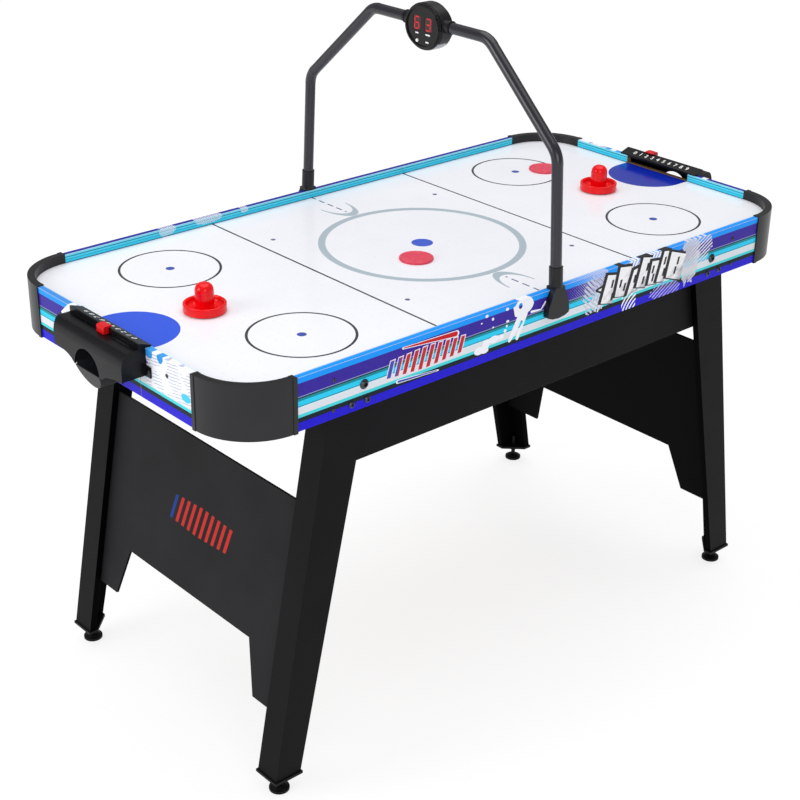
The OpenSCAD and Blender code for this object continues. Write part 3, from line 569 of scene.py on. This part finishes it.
def thrown_splash(net, run, depth):
    """Mask of a blob with arms and drops flung off it to the left."""
    splash = oval(net, run, depth, (-82, 14), (25, 17), 0.25)
    for start, end, wide, thin in (
        ((-82, 24), (-118, 75), 12, 4), ((-80, 30), (-98, 76), 8, 4),
        ((-62, 32), (-36, 34), 2.5, 1.5), ((-36, 34), (-25, 22), 1.5, 2.5),
        ((-100, 24), (-108, 12), 8, 3),
    ):
        splash = splash.most(stroke(run, depth, start, end, wide, thin))
    for centre, half in (
        ((-197, 74), (13, 8)), ((-180, 66), (9, 10)), ((-160, 61), (14, 7)), ((-183, 78), (10, 5)),
        ((-180, 9), (4, 3)), ((-164, 19), (3, 3)), ((-127, 9), (4, 3)), ((-125, 34), (4, 2.5)),
        ((-127, 43), (2.5, 2.5)), ((-131, 52), (3.5, 3.5)), ((-193, 20), (2, 1.5)),
        ((-163, 36), (2, 2)), ((-140, 62), (6, 5)),
    ):
        splash = splash.most(oval(net, run, depth, centre, half))
    eye = oval(net, run, depth, (-92, 12), (5, 6))
    slit = stroke(run, depth, (-88, 46), (-96, 58), 3.5, 1.5)
    return splash * (1 - eye.most(slit))


def front_decor(net, run, depth):
    """Front rail: a row of bars, a thrown splash, half-tone dots, scratches and ice blocks."""
    white = hexa("#f4f4fc")
    layers = [
        (stroke(run, depth, (-386, 14), (-256, 22), 2.2, 6.4), white),
        (stroke(run, depth, (-384, 14), (-258, 22), 1.0, 5.0), hexa("#c8141c")),
        (stroke(run, depth, (-398, 76), (-300, 82), 3.6, 1.6), white),
        (stroke(run, depth, (-396, 76.2), (-304, 81.8), 2.2, 0.8), hexa("#3f4fb4")),
    ]
    layers += rail_bars(run, depth)
    layers.append((thrown_splash(net, run, depth), white))
    tone = ((run - 30) / 90).most(0).least(1) * run.under(150) * depth.under(46)
    dots = away((run + depth).wrap(5.6), (run - depth).wrap(5.6)).under(tone * 2.5)
    layers.append((dots, hexa("#cfd3ea")))
    for lean, pitch, fill, centre, half, ink in (
        (0.4, 10, 0.7, (126, 62), (18, 22), "#dfe4ee"),
        (-1.2, 13, 0.5, (112, 46), (30, 38), "#c9cde0"),
        (1.5, 12, 0.8, (404, 42), (30, 50), "#d3d3dc"),
        (1.8, 15, 0.5, (436, 26), (36, 32), "#dcdcea"),
        (1.6, 14, 0.5, (332, 89), (48, 16), "#a9a2ea"),
    ):
        scratches = hatch(net, run, depth, lean, pitch, fill, 6)
        layers.append((scratches * oval(net, run, depth, centre, half, 0.9), hexa(ink)))
    arcs = abs(away(run - 262, depth - 124).wrap(9.0)).under(2.0)
    layers.append((arcs * run.between(198, 240) * depth.over(66), white))
    smear = oval(net, run, depth, (262, 8), (56, 14), 0.6) * hatch(net, run, depth, 0.6, 10, 0.7)
    layers.append((smear, white))
    return layers + ice_blocks(net, run, depth), []


def ice_blocks(net, run, depth):
    """A row of jagged blocks, shaded from white to grey, with thick shadows to their upper left."""
    ink = hexa("#29292d")
    cloud = (net.noise(15, 2, at=net.join(run * 0.8 + depth * 0.5, depth)) - 0.5) * 1.6
    layers = [
        (stroke(run, depth, (150, 40), (120, 36), 15, 3), ink),
        (stroke(run, depth, (152, 41), (126, 37), 9, 1), hexa("#ececf2")),
    ]
    for centre, half, lean, tilt, slots in (
        ((160, 44), (18, 30), 0.30, -0.22, ((6, -10), (7, 17))),
        ((200, 38), (19, 31), 0.20, -0.16, ((-9, 2), (3, 12))),
        ((236, 44), (15, 24), 0.34, 0.12, ((-3, -4), (8, 8))),
        ((262, 34), (16, 32), 0.28, -0.24, ((8, -10), (-3, 16))),
        ((294, 42), (15, 25), 0.20, -0.14, ((-6, -8), (-5, 10))),
        ((322, 36), (12, 33), 0.30, -0.20, ((2, -12), (0, 12))),
        ((360, 44), (25, 29), 0.24, -0.34, ((6, -10), (-2, 9))),
    ):
        behind = (centre[0] - 5, centre[1] - 3)
        shadow = slab(run, depth, behind, (half[0] + 4, half[1] + 4), lean, tilt)
        body = slab(run, depth, centre, half, lean, tilt).under(0)
        fall = (run - centre[0]) / half[0] * 0.35 + (depth - centre[1]) / half[1] * 0.45
        tone = net.mix((fall + cloud).ease(-0.2, 0.9), hexa("#f7f7fa"), hexa("#96979f"))
        layers += [(shadow.under(0), ink), (body, tone)]
        for across, down in slots:
            notch = slab(run, depth, (centre[0] + across, centre[1] + down), (3.0, 8), 0.25)
            layers.append((notch.under(0) * body, ink))
    return layers


def back_decor(net, run, depth):
    """Back rail: faint white smears at the top edge inside, and the row of bars on the outside."""
    white = hexa("#eef0f8")
    smear = oval(net, run, depth, (-382, 4), (20, 12), 0.6)
    smear = smear.most(oval(net, run, depth, (-278, 3), (34, 10), 0.6))
    smear = smear.most(oval(net, run, depth, (-184, 3), (10, 7), 0.5))
    smear = smear * hatch(net, run, depth, 1.3, 5, 0.5)
    outside = [(smear * depth.under(1), white)] + rail_bars(run * -1, depth)
    return outside, [(smear, white)]


def end_decor(net, run, depth):
    """End rails: a scratched white area beside the goal on one side, a small slash on the other."""
    along = run * net.x.op("SIGN")
    white = hexa("#f3f4fb")
    ragged = (net.noise(11, 3) - 0.5) * 18
    big = (along + ragged).over(114) * (depth + ragged * 0.6).under(68)
    lines = abs((depth + along * 0.14 + ragged * 0.25).wrap(6)).under(0.9)
    lines = lines * net.noise(30, 2).over(0.46)
    chips = oval(net, along, depth, (123, 5), (11, 11), 0.4)
    chips = chips.most(oval(net, along, depth, (157, 4), (9, 10), 0.4))
    outside = [
        (big, white),
        (big * lines, hexa("#bac1d8")),
        (chips, hexa("#3a9ae6")),
        (oval(net, along, depth, (232, 53), (14, 8), 0.3), hexa("#49cdee")),
        (stroke(along, depth, (-168, 24), (-136, 4), 2.5, 8), white),
    ]
    return outside, []


def lens_plastic():
    """Clear ribbed plastic with a silver backing, painted paler on the rib crests and darker in the
    grooves as highlight and shade.
    """
    net = Net("lens_plastic")
    ribs = abs(net.x.wrap(3.2)) / 1.6
    # Painted highlight and shade: each rib is pale on its crest and dark in its grooves.
    colour = net.mix(ribs, hexa("#d6d8dc"), hexa("#85888e"))
    net.bump(1 - ribs, 0.4)
    net.finish(colour, 0.16 + ribs * 0.14, specular=0.6, coat=0.5, coat_roughness=0.06)
    return net.material


def felt_pad():
    """Grey felt with a fuzzy surface."""
    net = Net("felt_pad")
    fuzz = net.noise(0.7, 5)
    net.bump(fuzz, 0.5)
    net.finish(net.mix(fuzz, hexa("#3b3c40"), hexa("#77787c")), 0.92 + fuzz * 0.06, specular=0.15)
    return net.material


def glowing(name, code, strength):
    """Tinted plastic that shines a little by itself."""
    net = Net(name)
    tint = net.mix(net.noise(2.5, 2), shade(hexa(code), 0.75), hexa(code))
    net.finish(tint, 0.35 + net.noise(4) * 0.1, glow=tint, glow_strength=strength)
    return net.material


def puck_plastic():
    """Red puck plastic with paler streaky scuffs."""
    net = Net("puck_plastic")
    scuff = net.noise(5, 5, stretch=(3, 0.6, 1))
    colour = net.mix(scuff.ease(0.42, 0.75), hexa("#df2f4c"), hexa("#ea5a70"))
    net.bump(scuff, 0.03)
    net.finish(colour, 0.3 + scuff * 0.15, specular=0.5)
    return net.material


# ---- mesh building ----

WELD = 2e-6                       # corners closer than this are one corner, in metres
SLIVER = 2e-5                     # triangles thinner than this are taken out, in metres
FLAT_ANGLE = math.radians(0.6)    # faces that meet flatter than this become one face
EDGE_ANGLE = math.radians(28)     # edges sharper than this are rounded


def publish(name, mesh, body, material, nodes=(), sharp=35):
    """Makes the piece from a mesh, on its body and in its slot, in place of the CAD nodes named."""
    mesh.materials.clear()
    mesh.materials.append(material)
    mesh.shade_smooth()
    mesh.set_sharp_from_angle(angle=math.radians(sharp))
    piece = bpy.data.objects.new(name, mesh)
    bpy.context.scene.collection.objects.link(piece)
    weighted = piece.modifiers.new("flat_faces", "WEIGHTED_NORMAL")
    weighted.keep_sharp = True
    settled = piece.evaluated_get(bpy.context.evaluated_depsgraph_get())
    piece.data = bpy.data.meshes.new_from_object(settled)
    piece.modifiers.clear()
    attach(piece, body)
    if nodes:
        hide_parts(*nodes)
    return piece


def welded(node):
    """A CAD node's mesh with its shared corners joined."""
    bm = bmesh.new()
    bm.from_mesh(frame["nodes"][node].data)
    bmesh.ops.remove_doubles(bm, verts=bm.verts, dist=WELD)
    return bm


def refine(node, material, round_mm=0.8, segments=3):
    """Rebuilds a CAD node's mesh with clean faces and rounded edges, and shows it instead."""
    bm = welded(node)
    bmesh.ops.dissolve_degenerate(bm, dist=SLIVER, edges=bm.edges)
    bmesh.ops.dissolve_limit(bm, angle_limit=FLAT_ANGLE, verts=bm.verts, edges=bm.edges)
    if round_mm:
        edges = [
            e for e in bm.edges
            if len(e.link_faces) == 2 and e.calc_face_angle(0) > EDGE_ANGLE
        ]
        bmesh.ops.bevel(
            bm, geom=edges, offset=round_mm * MM, segments=segments,
            profile=0.5, affect="EDGES", clamp_overlap=True, harden_normals=False,
        )
    bmesh.ops.recalc_face_normals(bm, faces=bm.faces)
    mesh = bpy.data.meshes.new(node + "_finish")
    bm.to_mesh(mesh)
    bm.free()
    return publish(node + "_finish", mesh, BODY_OF[node], material, [node])


def islands(node):
    """Boxes of the separate solids in a CAD node, as (lowest corner, highest corner) pairs."""
    bm = welded(node)
    left = set(bm.verts)
    found = []
    while left:
        stack = [left.pop()]
        part = []
        while stack:
            vert = stack.pop()
            part.append(vert.co.copy())
            for edge in vert.link_edges:
                other = edge.other_vert(vert)
                if other in left:
                    left.remove(other)
                    stack.append(other)
        low = Vector([min(p[i] for p in part) for i in range(3)])
        high = Vector([max(p[i] for p in part) for i in range(3)])
        found.append((low, high))
    bm.free()
    return sorted(found, key=lambda pair: tuple(round(c, 5) for c in pair[0]))


def filleted(points, steps=4):
    """Replaces each (radius, height, fillet) corner of a profile with a short arc."""
    out = []
    last = len(points) - 1
    for i, (r, z, fillet) in enumerate(points):
        here = Vector((r, z))
        if fillet == 0 or i in (0, last):
            out.append(here)
            continue
        before = Vector(points[i - 1][:2]) - here
        after = Vector(points[i + 1][:2]) - here
        reach = min(fillet, before.length * 0.49, after.length * 0.49)
        start = here + before.normalized() * reach
        end = here + after.normalized() * reach
        for k in range(steps + 1):
            t = k / steps
            out.append(start * (1 - t) ** 2 + here * 2 * t * (1 - t) + end * t * t)
    return out


def outline_radius(shape, angle):
    """Radius factor of a ring drawn as a hexagon or a cross recess."""
    if shape == "hex":
        half_side = math.pi / 6
        return math.cos(half_side) / math.cos((angle + half_side) % (2 * half_side) - half_side)
    if shape == "cross":
        return 0.36 + 0.64 * max(abs(math.cos(angle)), abs(math.sin(angle))) ** 14
    return 1


def spun(bm, profile, matrix, count, shapes=()):
    """Turns a profile of (radius, height) in millimetres round Z and adds it to bm through matrix.

    shapes gives (place in the profile, shape) for the rings that aren't round.
    """
    shapes = dict(shapes)
    rings = []
    for i, (r, z) in enumerate(profile):
        if r < 1e-6:
            rings.append([bm.verts.new(matrix @ Vector((0, 0, z * MM)))])
            continue
        ring = []
        for k in range(count):
            angle = 2 * math.pi * k / count
            reach = r * outline_radius(shapes.get(i), angle) * MM
            at = Vector((reach * math.cos(angle), reach * math.sin(angle), z * MM))
            ring.append(bm.verts.new(matrix @ at))
        rings.append(ring)
    for low, high in zip(rings, rings[1:]):
        for k in range(count):
            n = (k + 1) % count
            if len(low) == 1:
                bm.faces.new((low[0], high[n], high[k]))
            elif len(high) == 1:
                bm.faces.new((low[k], low[n], high[0]))
            else:
                bm.faces.new((low[k], low[n], high[n], high[k]))


def bm_piece(name, bm, body, material, nodes=(), sharp=35):
    """Publishes a bmesh as a piece."""
    bmesh.ops.recalc_face_normals(bm, faces=bm.faces)
    mesh = bpy.data.meshes.new(name)
    bm.to_mesh(mesh)
    bm.free()
    return publish(name, mesh, body, material, nodes, sharp)


def middle(node):
    """Centre of a CAD node's box."""
    low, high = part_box(node)
    return (low + high) / 2


# ---- playing pieces ----

ROUND_COUNT = 112                 # sides of a striker or puck


def striker(side, material):
    """Dished base with a thick rim and a domed knob."""
    node = "striker_" + side
    low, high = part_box(node)
    r = (high.x - low.x) / 2 / MM
    h = (high.z - low.z) / MM
    knob = 18
    rim = 16.5
    profile = filleted([
        (0, 0.4, 0), (r - 12, 0.4, 1), (r - 11, 0, 1), (r, 0, 1.4), (r, rim, 3.2),
        (r - 5.2, rim, 3.4), (r - 7.5, 6.4, 5), (r - 15, 3.2, 4), (knob + 2.5, 3.2, 4),
        (knob + 0.2, 8, 5), (knob, h - 15, 6), (knob - 1.5, h - 7.5, 6),
        (knob - 7.5, h - 1.2, 7), (0, h, 0),
    ], steps=6)
    bm = bmesh.new()
    spun(bm, profile, Matrix.Translation((middle(node).x, middle(node).y, low.z)), ROUND_COUNT)
    bm_piece("striker_%s_finish" % side, bm, BODY_OF[node], material, [node], 50)


def puck(node, material):
    """Disc with a raised rim round a shallow dish on both faces."""
    low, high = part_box(node)
    r = (high.x - low.x) / 2 / MM
    h = (high.z - low.z) / MM
    profile = filleted([
        (0, 0.5, 0), (r - 5.5, 0.5, 0.5), (r - 4.7, 0, 0.6), (r - 1, 0, 0.7), (r, 1, 0.6),
        (r, h - 1, 0.6), (r - 1, h, 0.7), (r - 4.7, h, 0.6), (r - 5.5, h - 0.6, 0.5),
        (0, h - 0.6, 0),
    ])
    bm = bmesh.new()
    spun(bm, profile, Matrix.Translation((middle(node).x, middle(node).y, low.z)), ROUND_COUNT)
    bm_piece(node + "_finish", bm, BODY_OF[node], material, [node], 40)


# ---- fasteners ----

HEAD_COUNT = 48                   # sides of a bolt or screw


def facing(low, high):
    """Matrix that puts a head drawn on +Z onto the outward end of a fastener lying along X or Y.

    Gives the matrix, the fastener's length, and its head's radius, in millimetres.
    """
    centre = (low + high) / 2
    spans = high - low
    axis = 0 if spans.x > spans.y else 1
    outward = Vector((0, 0, 0))
    outward[axis] = 1 if centre[axis] > 0 else -1
    tip = centre.copy()
    tip[axis] = high[axis] if outward[axis] > 0 else low[axis]
    turn = outward.to_track_quat("Z", "Y").to_matrix().to_4x4()
    return Matrix.Translation(tip) @ turn, spans[axis] / MM, spans.z / 2 / MM


def leg_bolts(material):
    """Domed bolts with a hexagon socket, a washer flange and a plain shank."""
    bm = bmesh.new()
    for low, high in islands("leg_bolts"):
        matrix, length, r = facing(low, high)
        head = 4.5 if r > 7 else 3
        shank = 3.9
        socket = r * 0.45
        profile = [
            (0, -length), (shank, -length), (shank, -head), (r, -head), (r, -head + 0.9),
            (r - 0.5, -head + 1.2), (r * 0.8, -head * 0.35), (r * 0.6, -0.12),
            (socket + 0.2, 0), (socket, -0.15), (socket, -head * 0.7), (0, -head * 0.72),
        ]
        spun(bm, profile, matrix, HEAD_COUNT, ((9, "hex"), (10, "hex")))
    body = BODY_OF["leg_bolts"]
    bm_piece("leg_bolts_finish", bm, body, material, ["leg_bolts"])


def small_screws(material):
    """Pan-head screws with a cross recess."""
    bm = bmesh.new()
    for low, high in islands("small_screws"):
        matrix, length, r = facing(low, high)
        head = 1.6
        shank = 1.9
        profile = [
            (0, -length), (1.2, -length), (shank, -length + 2), (shank, -head), (r, -head),
            (r - 0.1, -head * 0.55), (r * 0.7, -0.1), (r * 0.56, 0), (r * 0.52, -0.05),
            (r * 0.4, -1.1), (0, -1.2),
        ]
        spun(bm, profile, matrix, HEAD_COUNT, ((8, "cross"), (9, "cross")))
    body = BODY_OF["small_screws"]
    bm_piece("small_screws_finish", bm, body, material, ["small_screws"])


# ---- numbers and displays ----

def score_numbers(side, material):
    """The numbers 0 to 9 printed on the sloping score strip of a goal housing."""
    slope_low = Vector((IN_X, 0, RAIL_TOP + 2.7))
    slope_high = Vector((HALF_L + 11, 0, RAIL_TOP + 11))
    up = (slope_high - slope_low).normalized()
    right = Vector((0, -1, 0))
    normal = right.cross(up)
    base = slope_low.lerp(slope_high, 0.5) + normal * 0.12
    turn = Matrix.Rotation(0 if side == "right" else math.pi, 4, "Z")
    bm = bmesh.new()
    for digit in range(10):
        text = bpy.data.curves.new("digit", "FONT")
        text.body = str(digit)
        text.size = NUMBER_SIZE * MM
        text.align_x = "CENTER"
        text.align_y = "CENTER"
        text.extrude = 0.1 * MM
        text.offset = 0.25 * MM
        holder = bpy.data.objects.new("digit", text)
        bpy.context.scene.collection.objects.link(holder)
        settled = holder.evaluated_get(bpy.context.evaluated_depsgraph_get())
        mesh = bpy.data.meshes.new_from_object(settled)
        matrix = Matrix((right, up, normal)).transposed().to_4x4()
        matrix.translation = (base + Vector((0, NUMBER_START - digit * NUMBER_PITCH, 0))) * MM
        mesh.transform(turn @ matrix)
        bm.from_mesh(mesh)
        bpy.data.objects.remove(holder)
        bpy.data.meshes.remove(mesh)
        bpy.data.curves.remove(text)
    bm_piece("score_numbers_" + side, bm, "table", material)


# Lit bars of each digit shown, and each bar's ends as parts of the digit's half size.
SEGMENTS = {"6": "afgecd", "3": "abgcd"}
SEGMENT_ENDS = {
    "a": ((-1, 1), (1, 1)), "b": ((1, 1), (1, 0)), "c": ((1, 0), (1, -1)), "d": ((-1, -1), (1, -1)),
    "e": ((-1, -1), (-1, 0)), "f": ((-1, 0), (-1, 1)), "g": ((-1, 0), (1, 0)),
}
WINDOW_WIDTH = 20.6


def bar(bm, matrix, start, end, half, height):
    """Pointed bar from start to end in the local YZ plane, height thick along local X."""
    along = Vector(end) - Vector(start)
    length = along.length
    along.normalize()
    side = Vector((-along.y, along.x))
    s = Vector(start)
    outline = [
        s, s + along * half + side * half, s + along * (length - half) + side * half,
        Vector(end), s + along * (length - half) - side * half, s + along * half - side * half,
    ]
    low = [bm.verts.new(matrix @ (Vector((0, p.x, p.y)) * MM)) for p in outline]
    high = [bm.verts.new(matrix @ (Vector((height, p.x, p.y)) * MM)) for p in outline]
    bm.faces.new(low)
    bm.faces.new(high)
    for k in range(6):
        bm.faces.new((low[k], low[(k + 1) % 6], high[(k + 1) % 6], high[k]))


def seven_segments(side, lit, dark):
    """Two seven-segment digits on the windows of one scorer face: lit bars and dim bars."""
    node = "scorer_digits_" + side
    low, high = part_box(node)
    sign = 1 if side == "right" else -1
    front = (high.x if sign > 0 else low.x) / MM
    cell = (high.y - low.y) / MM
    half_w, half_h, lean = 6.2, 11.4, 0.09
    centre_z = (low.z + high.z) / 2 / MM
    turn = Matrix.Rotation(0 if sign > 0 else math.pi, 4, "Z")
    shift = Matrix.Translation((0, (low.y + high.y) / 2, 0))
    meshes = {True: bmesh.new(), False: bmesh.new()}
    for digit, place in (("6", -1), ("3", 1)):
        centre_y = place * (cell - WINDOW_WIDTH) / 2
        matrix = shift @ turn @ Matrix.Translation(Vector((abs(front), centre_y, centre_z)) * MM)
        for name, ends in SEGMENT_ENDS.items():
            on = name in SEGMENTS[digit]
            p, q = (Vector((y * half_w + z * half_h * lean, z * half_h)) for y, z in ends)
            gap = (q - p).normalized() * 0.35
            bar(meshes[on], matrix, p + gap, q - gap, 1.5, 0.35 if on else 0.2)
    bm_piece("scorer_lit_bars_" + side, meshes[True], BODY_OF[node], lit)
    bm_piece("scorer_dim_bars_" + side, meshes[False], BODY_OF[node], dark)


def face_marks(side, material):
    """Small plain white bars under the digits, in place of captions."""
    sign = 1 if side == "right" else -1
    front = abs(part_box("scorer_face_" + side)[1 if sign > 0 else 0].x / MM) - 3
    turn = Matrix.Rotation(0 if sign > 0 else math.pi, 4, "Z")
    shift = Matrix.Translation((0, SCORER.y * MM, 0))
    matrix = shift @ turn @ Matrix.Translation(Vector((front, 0, SCORER.z)) * MM)
    bm = bmesh.new()
    for y, z, half in ((-15.5, -13.5, 5), (15.5, -13.5, 7), (14, -28, 5)):
        bar(bm, matrix, (y - half, z), (y + half, z), 1.4, 0.25)
    bm_piece("scorer_marks_" + side, bm, "table", material)


# ---- the whole object ----

def build():
    """Makes every visible piece, one or more for each CAD node."""
    field = field_print()
    wood = board_wood()
    # The caps and the goal housings get painted shade on their upward faces through top.
    cap = moulded(
        "cap_plastic", "#28282a", 0.33, grain=0.8, depth=0.015, vary=0.05, specular=0.22, top=0.4,
    )
    goal = moulded(
        "goal_plastic", "#121215", 0.27, grain=1.0, depth=0.015, vary=0.04, specular=0.16, top=0.6,
    )
    tray = moulded("tray_plastic", "#303032", 0.45, grain=1.0, depth=0.03)
    red = moulded(
        "striker_plastic", "#f0040e", 0.18, grain=6, depth=0.02, vary=0.03, specular=0.3,
    )
    slider = moulded("slider_plastic", "#d80a14", 0.3, grain=1.5, depth=0.02, specular=0.3)
    leg = black_laminate("leg_laminate", "#111112")
    panel = black_laminate("panel_laminate", "#232325", emblem=True)
    side = black_laminate("side_laminate", "#111113")
    tube = moulded(
        "tube_enamel", "#24232b", 0.22, grain=0.8, depth=0.01, vary=0.04, specular=0.5,
    )
    black = moulded("black_metal", "#0e0e10", 0.34, grain=0.9, depth=0.02)
    foot = moulded("foot_plastic", "#0c0c0d", 0.5, grain=1.0, depth=0.05)
    shell = moulded("scorer_plastic", "#161619", 0.33, depth=0.02, specular=0.3)
    face = moulded("face_plastic", "#08080a", 0.22, grain=1.2, depth=0.01, specular=0.3)
    white = moulded("white_print", "#f4f4f4", 0.4, grain=1.2, depth=0.02, vary=0.03)
    grey = moulded("blower_plastic", "#4a4c50", 0.45, grain=1.2, depth=0.04)
    fan = moulded("fan_plastic", "#c8cacc", 0.4, grain=1.4, depth=0.03)
    steel = metal("plated_steel", "#b9bcc2", 0.32)
    dark_steel = metal("dark_steel", "#4b4c52", 0.32)

    refine("playfield", field, 0)
    refine("air_chamber_floor", wood, 0.6)
    refine("air_chamber_battens", wood, 0.6)
    for node, side_name, along, top_code, decor in (
        ("rail_front", "front", "x", "#0a96fb", front_decor),
        ("rail_back", "back", "x", "#10259a", back_decor),
        ("rail_end_left", "left", "y", "#3f8fe0", end_decor),
        ("rail_end_right", "right", "y", "#10259a", end_decor),
    ):
        foil = rail_print("rail_print_" + side_name, along, top_code, decor)
        refine(node, foil, 0.8)
    for end in ("left", "right"):
        for row in ("front", "back"):
            refine("corner_cap_%s_%s" % (row, end), cap, 1.6, 4)
            refine("leg_%s_%s" % (row, end), leg, 0.8, 1)
            refine("leveller_%s_%s" % (row, end), foot, 0.7, 2)
        refine("goal_housing_" + end, goal, 1.2, 3)
        refine("puck_tray_" + end, tray, 0.5, 2)
        refine("score_slider_" + end, slider, 0.8, 3)
        refine("end_panel_" + end, panel, 0.7, 1)
        refine("scorer_face_" + end, face, 0.5, 2)
        tint = glowing("window_tint_" + end, "#3a0408", 0.15)
        refine("scorer_digits_" + end, tint, 0.2, 1)
        refine("scorer_button_" + end, white, 0.4, 2)
        refine("striker_felt_" + end, felt_pad(), 0)
        striker(end, red)
        score_numbers(end, white)
        lit = glowing("lit_bars_" + end, "#b00c1c", 0.5)
        dim = glowing("dim_bars_" + end, "#4c060a", 0.15)
        seven_segments(end, lit, dim)
        face_marks(end, white)
    for row in ("front", "back"):
        refine("side_panel_" + row, side, 0.7, 1)
        refine("arch_socket_" + row, shell, 0.6, 2)
        refine("arch_tube_" + row, tube, 0.3, 2)
    refine("leg_end_plates", foot, 1.0)
    refine("panel_brackets", steel, 0.3, 2)
    refine("scorer_collars", shell, 0.8, 2)
    refine("scorer_barrel", shell, 0.6, 2)
    refine("scorer_lens", lens_plastic(), 0.15, 1)
    refine("blower_housing", grey, 0.8, 2)
    refine("blower_grille", black, 0)
    refine("blower_motor", steel, 0.6, 2)
    refine("blower_impeller", fan, 0)
    refine("power_inlet", black, 0.4, 2)
    refine("power_switch", black, 0.5, 2)
    leg_bolts(dark_steel)
    small_screws(dark_steel)
    pink = puck_plastic()
    puck("puck_centre", pink)
    puck("puck_far", pink)


make_camera()
make_stage()
build()
